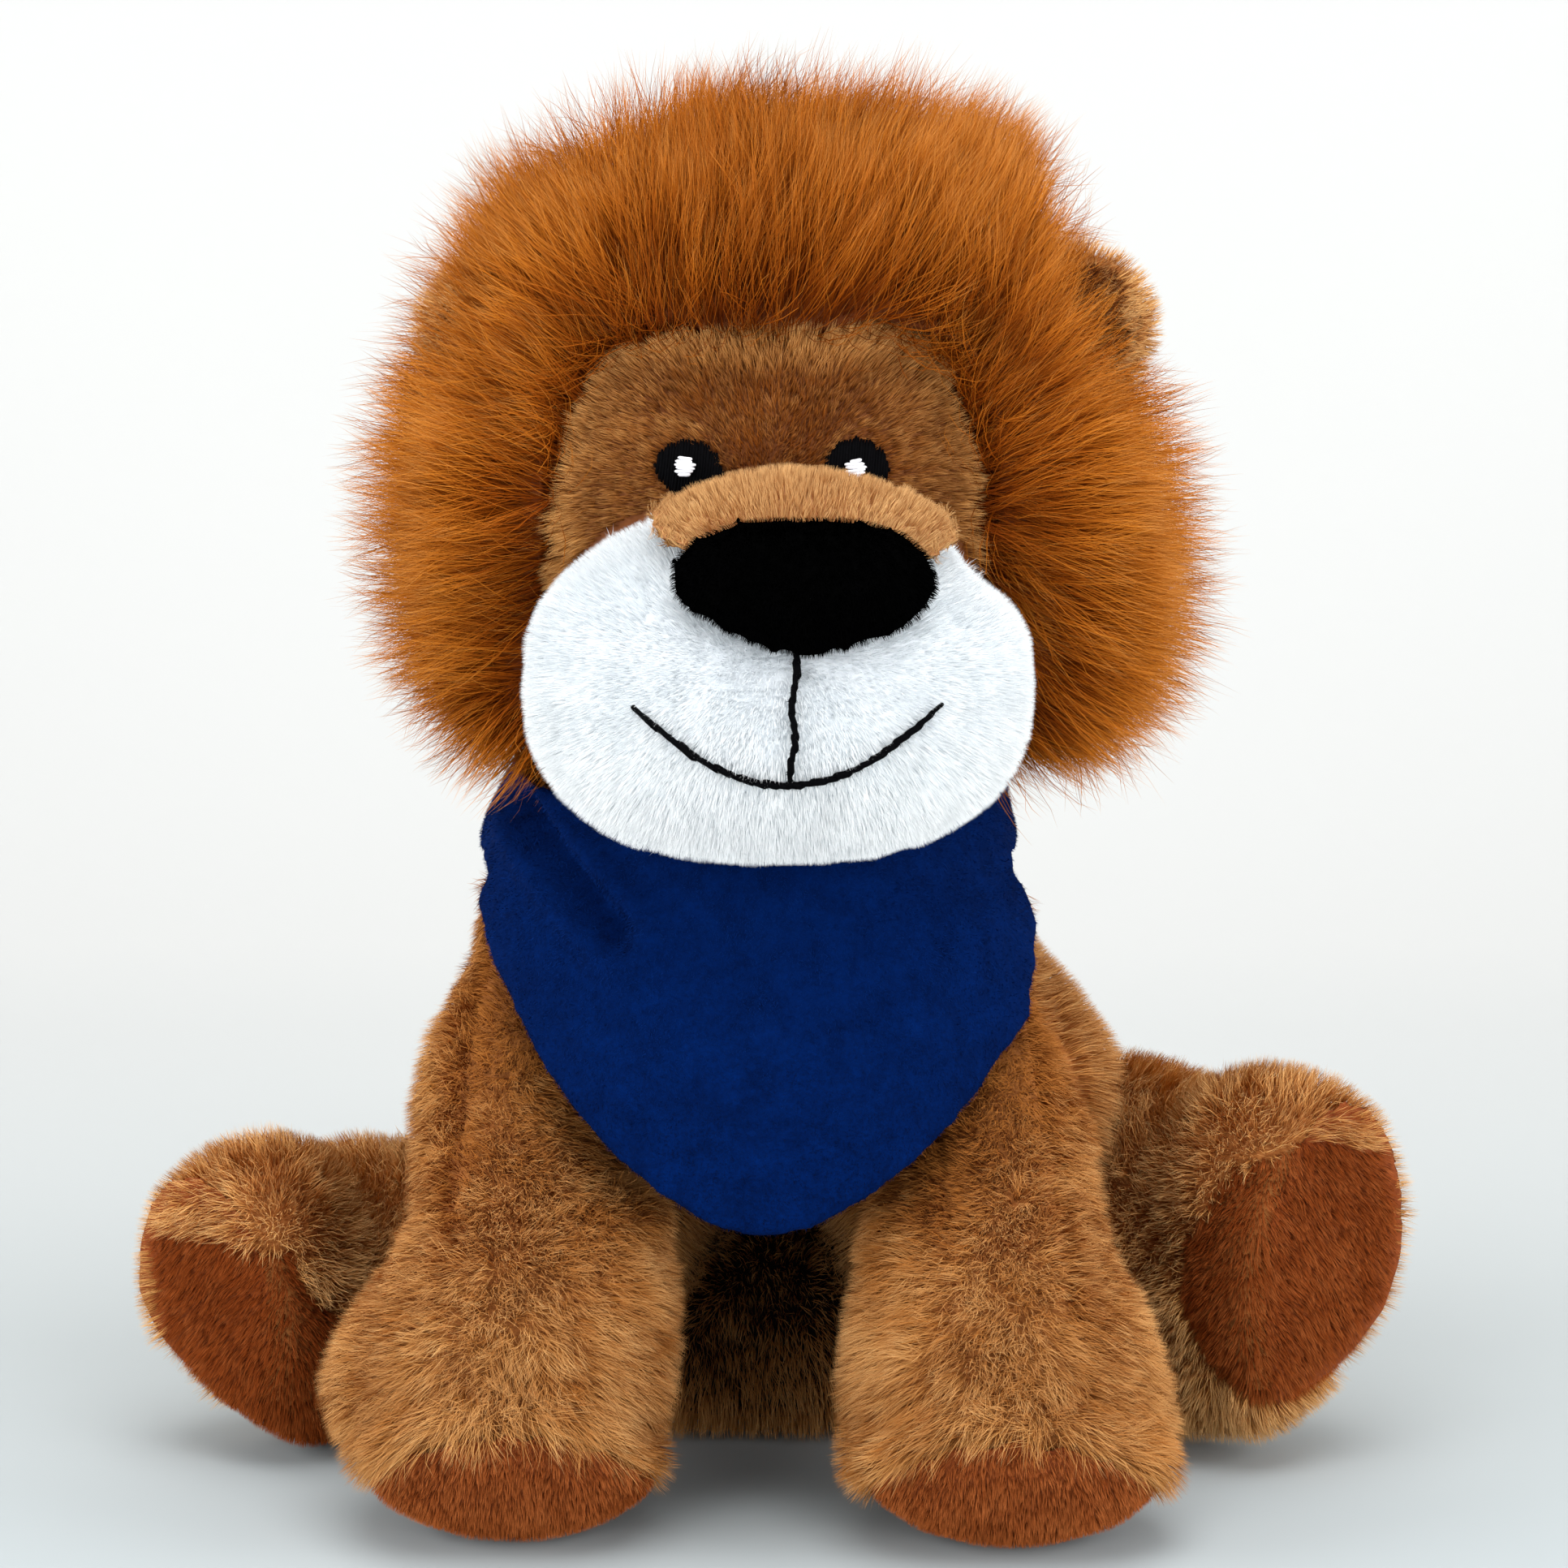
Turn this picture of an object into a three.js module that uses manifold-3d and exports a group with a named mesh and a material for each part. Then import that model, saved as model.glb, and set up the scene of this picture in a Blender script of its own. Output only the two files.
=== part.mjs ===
// Sitting plush lion with a long mane and a cloth bandana.
// Millimetres, +Z up, the face looks along -Y. The floor under the seat is z = 0.
import * as THREE from 'three';
import { mergeVertices } from 'three/addons/utils/BufferGeometryUtils.js';
import Module from 'manifold-3d';

const wasm = await Module();
wasm.setup();

// Clearances and cloth
const gap = 0.3;
const overrun = 40;
const seatFlat = 0.5;
const weldDistance = 0.002;
const plushWall = 1.6;
const panelThickness = 1.4;
const padThickness = 1.2;
const threadThickness = 0.7;
const threadWidth = 1.1;

// Torso, a stuffed sack that stands on its seat
const torsoHeight = 108;
const torsoLean = 8;
const chestShift = -1.3;
const seatWidth = 92;
const seatDepth = 74;
const chestWidth = 82;
const chestDepth = 70;
const neckWidth = 54;
const neckDepth = 50;
const pelletDepth = 24;

// Head, a ball that sinks into the top of the torso
const headRadius = 37;
const headSink = 15;
const headClearance = 0.7;
const headTurnDegrees = 3;
const neckHoleRadius = 14;

// Face panel, seen from the front
const faceWidth = 56;
const faceRise = 26;
const faceDrop = 30;
const faceCornerRadius = 15;
const faceTopSag = 2.2;
const faceCheekBulge = 3.8;

// Muzzle, bridge and nose
const muzzleWidth = 68;
const muzzleHeight = 48;
const muzzleReach = 33;
const muzzleDepth = 58;
const muzzleDrop = 17.5;
const muzzleFullness = 2.5;
const bridgeWidth = 43;
const bridgeShift = 2;
const bridgeThickness = 4.5;
const noseWidth = 40;
const noseHeight = 21;
const noseProud = 6;
const noseRise = 14;
const noseShift = 2;

// Mouth stitches
const smileWidth = 38;
const smileSag = 10.5;
const smileRise = 1.5;

// Eyes
const eyeSpacing = 22.4;
const eyeRise = 9.5;
const eyeWidth = 9;
const eyeHeight = 9;
const eyeThickness = 1;
const glintDiameter = 2.8;

// Mane, measured out from the head ball
const maneSide = 17;
const maneTop = 16;
const maneHang = 12;
const maneBack = 13;
const maneFront = -3;
const maneShift = 3.5;
const maneFlare = 0.7;
const lockCount = 15;
const lockDepth = 1.6;

// Ears
const earWidth = 22;
const earLength = 24;
const earThickness = 6;
const earAngleDegrees = 31;
const earLiningInset = 3;
const earLiningThickness = 0.8;

// Collar space between the turning head and what lies under it
const collarEase = 2;
const collarHeight = 8;

// Front legs
const armTopWidth = 28;
const armWidth = 34;
const pawWidth = 57;
const pawHeight = 47;
const shoulderSpreads = { left: 31, right: 27 };
const pawSpread = 65;
const shoulderDrop = 25;
const shoulderSetback = 4;
const pawReaches = { left: 64, right: 67 };
const pawPadWidth = 36;
const armSwingDegrees = 15;

// Hind legs
const thighWidth = 40;
const thighHeights = { left: 44, right: 54 };
const ankleWidth = 31;
const ankleHeight = 37;
const footWidth = 32;
const footHeights = { left: 46, right: 57 };
const hipSpread = 62;
const hipSetback = 25;
const footSpreads = { left: 79, right: 81 };
const footReaches = { left: 16, right: 20 };
const footPadWidth = 25;
const footPadMargin = 5.5;
const footTuck = 16;
const footTuckCurve = 1.3;

// Bandana
const clothThickness = 1.5;
const bandEase = 1.4;
const bandWidth = 11;
const flapDrop = 53;
const flapCornerDrops = { left: 17, right: 22 };
const flapBulge = 17;
const flapFocus = 6;
const flapHalfAngleDegrees = 57;
const flapEdgeShare = 1.25;
const flapTipRadius = 9;
const lapAngleDegrees = 20;
const tabLength = 9;
const tabThickness = 0.8;

// Tail
const tailDiameter = 9;
const tailHeight = 13;
const tailReach = 26;
const tailCurl = 34;
const tuftDiameter = 15;
const tuftLength = 30;
const tuftGrip = 5;

const xAxis = new THREE.Vector3(1, 0, 0);
const yAxis = new THREE.Vector3(0, 1, 0);
const zAxis = new THREE.Vector3(0, 0, 1);
const at = (x, y, z) => new THREE.Vector3(x, y, z);
const radians = THREE.MathUtils.degToRad;
const lerp = THREE.MathUtils.lerp;
const smoothstep = THREE.MathUtils.smoothstep;

// Colours of the cloths and threads
const cloth = (color, roughness = 0.95) =>
  new THREE.MeshStandardMaterial({ color, roughness, metalness: 0 });
const materials = {
  plush: cloth(0xb87a45),
  mane: cloth(0xa95c20),
  face: cloth(0x96613a),
  white: cloth(0xe9e8ec),
  bridge: cloth(0xc99a6c),
  black: cloth(0x0c0b0c, 0.9),
  blackThread: cloth(0x0a0a0c, 0.6),
  whiteThread: cloth(0xf4f4f6, 0.5),
  pad: cloth(0x9c5326),
  lining: cloth(0x7a3f1b),
  navy: cloth(0x07215c, 0.85),
  closure: cloth(0x0a1330, 0.8),
  filling: cloth(0xf3f1ea),
  pellets: cloth(0xd9d4c4, 0.8),
};

// One point for all corners that lie within the weld distance. Triangles that collapse are dropped,
// and so are two that fold onto each other.
function welded(geometry) {
  const bare = geometry.clone();
  bare.deleteAttribute('normal');
  bare.deleteAttribute('uv');
  const merged = mergeVertices(bare, weldDistance);
  const corners = Array.from(merged.index.array);
  const kept = new Map();
  for (let i = 0; i < corners.length; i += 3) {
    const triangle = corners.slice(i, i + 3);
    const key = [...triangle].sort((a, b) => a - b).join();
    if (kept.has(key)) kept.delete(key);
    else if (new Set(triangle).size === triangle.length) kept.set(key, triangle);
  }
  return merged.setIndex([...kept.values()].flat());
}

function solid(geometry) {
  const { index, attributes } = welded(geometry);
  return new wasm.Manifold(new wasm.Mesh({
    numProp: 3,
    vertProperties: attributes.position.array,
    triVerts: new Uint32Array(index.array),
  }));
}

function largestBody(body) {
  const parts = body.decompose();
  return parts.reduce((best, part) => (part.volume() > best.volume() ? part : best));
}

function named(name, body, material) {
  const { vertProperties, triVerts } = largestBody(body).getMesh();
  const cut = new THREE.BufferGeometry();
  cut.setAttribute('position', new THREE.BufferAttribute(vertProperties, 3));
  cut.setIndex(new THREE.BufferAttribute(triVerts, 1));
  const geometry = welded(cut);
  geometry.computeVertexNormals();
  const mesh = new THREE.Mesh(geometry, material);
  mesh.name = name;
  return mesh;
}

// A copy of a closed form, moved out along its own normals
function grown(form, amount) {
  const bigger = form.clone();
  bigger.computeVertexNormals();
  const { position, normal } = bigger.attributes;
  for (let i = 0; i < position.count; i += 1) {
    position.setXYZ(
      i,
      position.getX(i) + normal.getX(i) * amount,
      position.getY(i) + normal.getY(i) * amount,
      position.getZ(i) + normal.getZ(i) * amount,
    );
  }
  return bigger;
}

// A closed form with a pole at each end and rings of points between them
function ringed(firstPole, rings, lastPole) {
  const points = [firstPole, ...rings.flat(), lastPole];
  const sides = rings[0].length;
  const index = [];
  for (let side = 0; side < sides; side += 1) {
    const next = (side + 1) % sides;
    index.push(0, 1 + next, 1 + side);
    for (let ring = 0; ring < rings.length - 1; ring += 1) {
      const low = 1 + ring * sides;
      const high = low + sides;
      index.push(low + side, low + next, high + next, low + side, high + next, high + side);
    }
    const top = 1 + (rings.length - 1) * sides;
    index.push(top + side, top + next, points.length - 1);
  }
  const geometry = new THREE.BufferGeometry().setFromPoints(points);
  geometry.setIndex(index);
  return geometry;
}

// A stuffed sack: oval rings that swell and taper along a spine, drawn in round at both ends.
// Sections are [width, depth] pairs spread evenly along the spine.
function sack({ spine, sections, fullness = 2.4, across = xAxis, rings = 14, sides = 18 }) {
  const path = new THREE.CatmullRomCurve3(spine);
  const girth = new THREE.CatmullRomCurve3(sections.map(([width, depth]) => at(width / 2, depth / 2, 0)));
  const hoops = [];
  for (let ring = 1; ring < rings; ring += 1) {
    const along = -Math.cos((Math.PI * ring) / rings);
    const share = (along + 1) / 2;
    const drawnIn = (1 - Math.abs(along) ** fullness) ** (1 / fullness);
    const centre = path.getPoint(share);
    const size = girth.getPoint(share).multiplyScalar(drawnIn);
    const tangent = path.getTangent(share);
    const side = across.clone().addScaledVector(tangent, -across.dot(tangent)).normalize();
    const rise = tangent.clone().cross(side);
    hoops.push(Array.from({ length: sides }, (_, step) => {
      const angle = (2 * Math.PI * step) / sides;
      return centre.clone()
        .addScaledVector(side, size.x * Math.cos(angle))
        .addScaledVector(rise, size.y * Math.sin(angle));
    }));
  }
  return ringed(path.getPoint(0), hoops, path.getPoint(1));
}

// Draws a ball form out towards the corners of its box, as seen from the front
function squared(form, centre, fullness) {
  const { position } = form.attributes;
  const { x: width, z: height } = new THREE.Box3().setFromBufferAttribute(position).getSize(at(0, 0, 0));
  for (let i = 0; i < position.count; i += 1) {
    const right = (2 * (position.getX(i) - centre.x)) / width;
    const up = (2 * (position.getZ(i) - centre.z)) / height;
    const round = Math.hypot(right, up);
    const square = (Math.abs(right) ** fullness + Math.abs(up) ** fullness) ** (1 / fullness);
    const swell = round > 0 ? round / square : 1;
    position.setX(i, centre.x + (right * swell * width) / 2);
    position.setZ(i, centre.z + (up * swell * height) / 2);
  }
  return form;
}

const ellipsoid = (centre, width, depth, height, sides = 20, rings = 14) =>
  welded(new THREE.SphereGeometry(1, sides, rings))
    .rotateX(Math.PI / 2)
    .scale(width / 2, depth / 2, height / 2)
    .translate(centre.x, centre.y, centre.z);

const ball = (centre, radius, sides = 24, rings = 14) =>
  ellipsoid(centre, 2 * radius, 2 * radius, 2 * radius, sides, rings);

// A block whose section, seen from the front, is an outline, from a depth outward along -Y
function frontPrism(outline, depth, start = 0) {
  return solid(new THREE.ExtrudeGeometry(outline, { depth, bevelEnabled: false, curveSegments: 6 })
    .rotateX(Math.PI / 2)
    .translate(0, start, 0));
}

// A sewn panel: the layer of cloth that lies on a form inside an outline
function panel(form, outline, lift, thickness) {
  return solid(grown(form, lift + thickness)).intersect(outline).subtract(solid(grown(form, lift)));
}

// Everything below a height
function below(height) {
  const size = torsoHeight + headRadius + overrun;
  return solid(new THREE.BoxGeometry(2 * size, 2 * size, size).translate(0, 0, height - size / 2));
}

const sideSigns = { left: -1, right: 1 };
const floor = below(0);

// Torso form and the head ball that sits in it
const seatHeight = -seatFlat;
const torsoForm = sack({
  spine: [
    at(0, torsoLean, seatHeight),
    at(0, torsoLean, torsoHeight / 3),
    at(chestShift, torsoLean / 2, (2 * torsoHeight) / 3),
    at(0, 0, torsoHeight),
  ],
  sections: [
    [seatWidth, seatDepth],
    [seatWidth, seatDepth],
    [chestWidth, chestDepth],
    [neckWidth, neckDepth],
  ],
  fullness: 2.8,
  rings: 13,
  sides: 20,
});
const headCentre = at(0, 0, torsoHeight - headSink + headRadius);
const headOrigin = at(0, 0, 0);
const headForm = ball(headOrigin, headRadius);
const headSeat = solid(ball(headCentre, headRadius + headClearance));

// The band of the bandana lies round the widest part of the neck that it covers
const bandTop = torsoHeight - headSink + collarHeight / 4;
const bandLap = clothThickness + 2 * tabThickness + 3 * gap;
function widestAbove(form, height) {
  const { position } = form.attributes;
  let widest = 0;
  for (let i = 0; i < position.count; i += 1) {
    const reach = Math.hypot(position.getX(i), position.getY(i));
    if (position.getZ(i) >= height) widest = Math.max(widest, reach);
  }
  return widest;
}
const bandRadius = widestAbove(torsoForm, bandTop - bandWidth) + bandEase;
const collarRadius = bandRadius + bandLap + clothThickness + collarEase;

function torsoPieces() {
  const hollow = solid(grown(torsoForm, -plushWall));
  const stuffing = solid(grown(torsoForm, -plushWall - gap)).subtract(headSeat);
  return [
    named(
      'torso_cover',
      solid(torsoForm).subtract(hollow.subtract(below(plushWall))).subtract(headSeat).subtract(floor),
      materials.plush,
    ),
    named('torso_filling', stuffing.subtract(below(pelletDepth + gap)), materials.filling),
    named(
      'pellet_bag',
      stuffing.intersect(below(pelletDepth)).subtract(below(plushWall + gap)),
      materials.pellets,
    ),
  ];
}

// Face panel outline: rounded at the top corners, drawn in towards the chin
function faceOutline(margin) {
  const half = faceWidth / 2 + margin;
  const top = faceRise + margin;
  const bottom = -faceDrop - margin;
  const corner = faceCornerRadius + margin;
  const outline = new THREE.Shape();
  outline.moveTo(-half + corner, top);
  outline.quadraticCurveTo(0, top - faceTopSag, half - corner, top);
  outline.quadraticCurveTo(half, top, half, top - corner);
  outline.lineTo(half, 0);
  outline.bezierCurveTo(half + faceCheekBulge, -corner, half, bottom, 0, bottom);
  outline.bezierCurveTo(-half, bottom, -half - faceCheekBulge, -corner, -half, 0);
  outline.lineTo(-half, top - corner);
  outline.quadraticCurveTo(-half, top, -half + corner, top);
  return outline;
}

// Muzzle and what sits on it, in the frame of the head
const muzzleCentre = at(0, -(headRadius + muzzleReach - muzzleDepth / 2), -muzzleDrop);
const muzzleForm = squared(
  ellipsoid(muzzleCentre, muzzleWidth, muzzleDepth, muzzleHeight),
  muzzleCentre,
  muzzleFullness,
);
const faceSurface = headRadius + gap + panelThickness;

function muzzleFrontAt(rise) {
  const share = rise / (muzzleHeight / 2);
  return muzzleCentre.y - (muzzleDepth / 2) * Math.sqrt(Math.max(0, 1 - share * share));
}

const bridgeTop = muzzleCentre.z + muzzleHeight / 2 + bridgeThickness;
const bridgeBack = -headRadius + bridgeThickness;
const bridgeFront = muzzleFrontAt(noseRise) + bridgeThickness / 4;
const bridgeSeatShare = Math.sqrt(1 - ((bridgeWidth + bridgeShift) / muzzleWidth) ** 2);
const bridgeHeight = 2 * (bridgeTop - muzzleCentre.z - (muzzleHeight / 2) * bridgeSeatShare);
const bridgeForm = ellipsoid(
  at(bridgeShift, (bridgeBack + bridgeFront) / 2, bridgeTop - bridgeHeight / 2),
  bridgeWidth,
  bridgeBack - bridgeFront,
  bridgeHeight,
);

// Nose: a soft triangle, wider along its top
const noseDepth = noseHeight;
const noseCentre = at(
  noseShift,
  muzzleFrontAt(noseRise) - noseProud + noseDepth / 2,
  muzzleCentre.z + noseRise,
);
const noseTaperShare = 0.3;
function noseShape() {
  const form = ellipsoid(headOrigin, noseWidth, noseDepth, noseHeight, 20, 14);
  const { position } = form.attributes;
  for (let i = 0; i < position.count; i += 1) {
    const rise = position.getZ(i) / (noseHeight / 2);
    position.setX(i, position.getX(i) * (1 - noseTaperShare * (1 - rise) / 2));
  }
  return form.translate(noseCentre.x, noseCentre.y, noseCentre.z);
}
const noseForm = noseShape();

// A band of even width along a curve drawn as the front sees it
function bandOutline(curve, width, steps) {
  const edges = [1, -1].map((side) => Array.from({ length: steps + 1 }, (_, step) => {
    const share = step / steps;
    const tangent = curve.getTangent(share);
    const sideways = new THREE.Vector2(-tangent.y, tangent.x);
    return curve.getPoint(share).addScaledVector(sideways, (side * width) / 2);
  }));
  return new THREE.Shape([...edges[0], ...edges[1].reverse()]);
}

const noseBottom = noseCentre.z - noseHeight / 2;
const smileEnd = muzzleCentre.z + smileRise;
const smileBottom = smileEnd - smileSag;
const philtrumCurve = new THREE.LineCurve(
  new THREE.Vector2(noseShift / 2, noseBottom + noseHeight / 4),
  new THREE.Vector2(0, smileBottom + threadWidth / 2 + gap),
);
const smileCurve = new THREE.QuadraticBezierCurve(
  new THREE.Vector2(-smileWidth / 2, smileEnd),
  new THREE.Vector2(0, smileEnd - 2 * smileSag),
  new THREE.Vector2(smileWidth / 2, smileEnd),
);

function ovalOutline(centre, width, height) {
  const outline = new THREE.Shape();
  outline.absellipse(centre.x, centre.y, width / 2, height / 2, 0, 2 * Math.PI);
  return outline;
}

// Mane: a full ruff round the head, taller than deep, its surface drawn into soft locks
const maneCentre = at(maneShift, maneBack - maneSide / 2, maneTop / 4);
const maneHalf = {
  side: headRadius + maneSide,
  top: headRadius + maneTop - maneCentre.z,
  bottom: headRadius + maneHang + maneCentre.z,
  back: headRadius + maneBack - maneCentre.y,
  front: headRadius + maneFront + maneCentre.y,
};
const maneHangShare = 4;
function maneShape() {
  const sides = 4 * lockCount;
  const rings = 11;
  const hoops = [];
  for (let ring = 1; ring < rings; ring += 1) {
    const polar = (Math.PI * ring) / rings;
    const y = -Math.cos(polar);
    const out = Math.sin(polar) ** (y < 0 ? maneFlare : 1);
    hoops.push(Array.from({ length: sides }, (_, step) => {
      const angle = (2 * Math.PI * step) / sides;
      const sine = Math.sin(angle);
      const power = sine < 0 ? maneHangShare : 2;
      const swell = 1 / (Math.abs(Math.cos(angle)) ** power + Math.abs(sine) ** power) ** (1 / power);
      const lock = 1 - (lockDepth / maneHalf.side) * out * (1 - Math.abs(Math.cos((lockCount * angle) / 2)));
      const reach = out * swell * lock;
      return at(
        maneCentre.x + maneHalf.side * reach * Math.cos(angle),
        maneCentre.y + (y < 0 ? maneHalf.front : maneHalf.back) * y,
        maneCentre.z + (sine < 0 ? maneHalf.bottom : maneHalf.top) * reach * sine,
      );
    }));
  }
  return ringed(
    at(maneCentre.x, maneCentre.y - maneHalf.front, maneCentre.z),
    hoops.map((hoop) => hoop.reverse()),
    at(maneCentre.x, maneCentre.y + maneHalf.back, maneCentre.z),
  );
}

// The space that stays clear round the neck when the head turns, about the axis of the turn
function collarSpace() {
  const seat = torsoHeight - headSink;
  const low = -headRadius - overrun;
  const shoulderLine = seat + collarHeight - headCentre.z;
  const profile = [
    new THREE.Vector2(0, low),
    new THREE.Vector2(collarRadius, low),
    new THREE.Vector2(collarRadius, shoulderLine - collarHeight / 2),
    new THREE.Vector2(collarRadius - collarHeight, shoulderLine),
    new THREE.Vector2(0, shoulderLine),
  ];
  return solid(new THREE.LatheGeometry(profile, 30).rotateX(Math.PI / 2));
}

// Ears stand out of the head ball, slanted up, and reach the outline of the mane
function earForm(sign) {
  const angle = radians(earAngleDegrees);
  const outward = at(sign * Math.cos(angle), 0, Math.sin(angle));
  const across = at(-sign * Math.sin(angle), 0, Math.cos(angle));
  const shift = at(maneShift, 0, 0);
  const root = outward.clone().multiplyScalar(headRadius - maneShift - earThickness / 2).add(shift);
  const tip = outward.clone().multiplyScalar(headRadius + earLength - earThickness).add(shift);
  return sack({
    spine: [root, root.clone().lerp(tip, 0.5), tip],
    sections: [[earWidth, earThickness], [earWidth, earThickness], [earWidth, earThickness]],
    fullness: 2.4,
    across,
    rings: 8,
    sides: 12,
  });
}

function headPieces() {
  const group = new THREE.Group();
  group.position.copy(headCentre);
  group.rotation.z = radians(headTurnDegrees);
  const reach = headRadius + overrun;
  const faceWindow = frontPrism(faceOutline(0), reach);
  const faceOpening = frontPrism(faceOutline(gap), reach);
  const collar = collarSpace();
  const neckHole = solid(
    new THREE.CylinderGeometry(neckHoleRadius, neckHoleRadius, headRadius, 24)
      .rotateX(Math.PI / 2)
      .translate(0, 0, -headRadius),
  );
  const onFace = ball(headOrigin, faceSurface);
  const muzzle = solid(muzzleForm).subtract(solid(grown(onFace, gap))).subtract(collar);
  const muzzleRoom = solid(grown(muzzleForm, gap));
  const bridge = solid(bridgeForm).subtract(solid(grown(onFace, gap))).subtract(muzzleRoom);
  const bridgeRoom = solid(grown(bridgeForm, gap));
  const nose = solid(noseForm).subtract(muzzleRoom).subtract(bridgeRoom);
  const noseRoom = solid(grown(noseForm, gap));
  const smileBand = frontPrism(bandOutline(smileCurve, threadWidth, 12), muzzleDepth, muzzleCentre.y);
  const philtrumBand = frontPrism(bandOutline(philtrumCurve, threadWidth, 3), muzzleDepth, muzzleCentre.y);

  group.add(
    named(
      'head_cover',
      solid(headForm).subtract(solid(grown(headForm, -plushWall))).subtract(neckHole),
      materials.plush,
    ),
    named('head_filling', solid(grown(headForm, -plushWall - gap)), materials.filling),
    named('face_panel', panel(headForm, faceWindow, gap, panelThickness), materials.face),
    named('muzzle', muzzle, materials.white),
    named('muzzle_bridge', bridge, materials.bridge),
    named('nose', nose, materials.black),
    named(
      'smile_stitch',
      panel(muzzleForm, smileBand, gap, threadThickness).subtract(noseRoom),
      materials.blackThread,
    ),
    named(
      'philtrum_stitch',
      panel(muzzleForm, philtrumBand, gap, threadThickness).subtract(noseRoom),
      materials.blackThread,
    ),
  );

  let maneRoom = muzzleRoom.add(faceOpening).add(solid(grown(headForm, gap)));
  for (const [side, sign] of Object.entries(sideSigns)) {
    const eyeCentre = new THREE.Vector2((sign * eyeSpacing) / 2, eyeRise);
    const eyeWindow = frontPrism(ovalOutline(eyeCentre, eyeWidth, eyeHeight), reach);
    const glintWindow = frontPrism(ovalOutline(eyeCentre, glintDiameter, glintDiameter), reach);
    const eyeTop = gap + eyeThickness;
    const ear = earForm(sign);
    const liningAngle = radians(earAngleDegrees);
    const liningReach = headRadius + earLength / 2 - earThickness / 2;
    const liningWindow = solid(
      new THREE.CylinderGeometry(
        earWidth / 2 - earLiningInset,
        earWidth / 2 - earLiningInset,
        earThickness,
        12,
      ).translate(
        maneShift + sign * liningReach * Math.cos(liningAngle),
        -earThickness / 2,
        liningReach * Math.sin(liningAngle),
      ),
    );
    group.add(
      named(
        `${side}_eye`,
        panel(onFace, eyeWindow, gap, eyeThickness).subtract(bridgeRoom).subtract(muzzleRoom),
        materials.blackThread,
      ),
      named(
        `${side}_eye_glint`,
        panel(onFace, glintWindow, eyeTop + gap, threadThickness).subtract(bridgeRoom),
        materials.whiteThread,
      ),
      named(`${side}_ear`, solid(ear).subtract(solid(grown(headForm, gap))), materials.plush),
      named(
        `${side}_ear_lining`,
        panel(ear, liningWindow, gap, earLiningThickness).subtract(solid(grown(headForm, gap))),
        materials.lining,
      ),
    );
    maneRoom = maneRoom.add(solid(grown(ear, gap))).add(
      solid(grown(ear, 2 * gap + earLiningThickness)).intersect(liningWindow),
    );
  }
  group.add(named('mane', solid(maneShape()).subtract(maneRoom).subtract(collar), materials.mane));
  return group;
}

// Bandana: a neck band that laps over itself at the back, with a shield-shaped flap in front
function bandanaLowerEdge(angle) {
  const corner = radians(flapHalfAngleDegrees);
  const turn = Math.abs(angle);
  const tipAngle = flapTipRadius / (bandRadius + flapBulge);
  const fromTip = Math.min(1, (Math.hypot(turn, tipAngle) - tipAngle) / (corner - tipAngle / 2));
  const flap = lerp(flapDrop, angle < 0 ? flapCornerDrops.left : flapCornerDrops.right, fromTip);
  return lerp(flap, bandWidth, smoothstep(turn, corner, corner * flapEdgeShare));
}

const lapStartShare = 0.6;
const lapEndShare = 0.9;
function bandanaPoint(angle, drop, layer) {
  const lapShare = smoothstep(angle, Math.PI * lapStartShare, Math.PI * lapEndShare);
  const bulge = flapBulge * (1 - (1 - drop / flapDrop) ** 2) * Math.cos(angle / 2) ** flapFocus;
  const radius = bandRadius + bandLap * lapShare + bulge + layer;
  return at(radius * Math.sin(angle), -radius * Math.cos(angle), bandTop - drop);
}

const bandanaTurns = 52;
const bandanaEnd = Math.PI + radians(lapAngleDegrees) / 2;
function bandanaForm({ thickness = clothThickness, lift = 0, turns = bandanaTurns } = {}) {
  const rows = 5;
  const end = (bandanaEnd * turns) / bandanaTurns;
  const sections = Array.from({ length: turns + 1 }, (_, turn) => {
    const angle = lerp(-end, end, turn / turns);
    const lower = bandanaLowerEdge(angle);
    const layer = (out) => Array.from(
      { length: rows + 1 },
      (_, row) => bandanaPoint(angle, (lower * row) / rows, out),
    );
    return [...layer(lift), ...layer(lift + thickness).reverse()];
  });
  const count = sections[0].length;
  const index = [];
  const cap = (base, flip) => {
    for (let row = 0; row < rows; row += 1) {
      const quad = [base + row, base + row + 1, base + count - 2 - row, base + count - 1 - row];
      const [a, b, c, d] = flip ? [...quad].reverse() : quad;
      index.push(a, b, c, a, c, d);
    }
  };
  for (let turn = 0; turn < turns; turn += 1) {
    for (let step = 0; step < count; step += 1) {
      const next = (step + 1) % count;
      const here = turn * count;
      const there = here + count;
      index.push(here + step, there + step, there + next, here + step, there + next, here + next);
    }
  }
  cap(0, false);
  cap(turns * count, true);
  const geometry = new THREE.BufferGeometry().setFromPoints(sections.flat());
  geometry.setIndex(index);
  return geometry;
}

// The cloth presses the plush in under its flap
const flapTurns = 20;
const flapRoom = bandanaForm({ thickness: flapBulge, lift: -3 * gap, turns: flapTurns });

// Front legs hang from the shoulder seam and widen to a round paw on the floor
const pawCentreHeight = pawHeight / 2 + gap + padThickness - seatFlat;
const toeDirection = at(0, -1, -1).normalize();
const soleDirection = at(0, -1, -2).normalize();
const elbowShare = 0.4;
const wristShare = 0.68;
const shoulder = (side) => at(
  sideSigns[side] * shoulderSpreads[side],
  shoulderSetback,
  torsoHeight - shoulderDrop,
);
function pawCentre(side) {
  const back = gap + padThickness + pawHeight / 2;
  return at((sideSigns[side] * pawSpread) / 2, back - pawReaches[side], pawCentreHeight);
}

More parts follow.
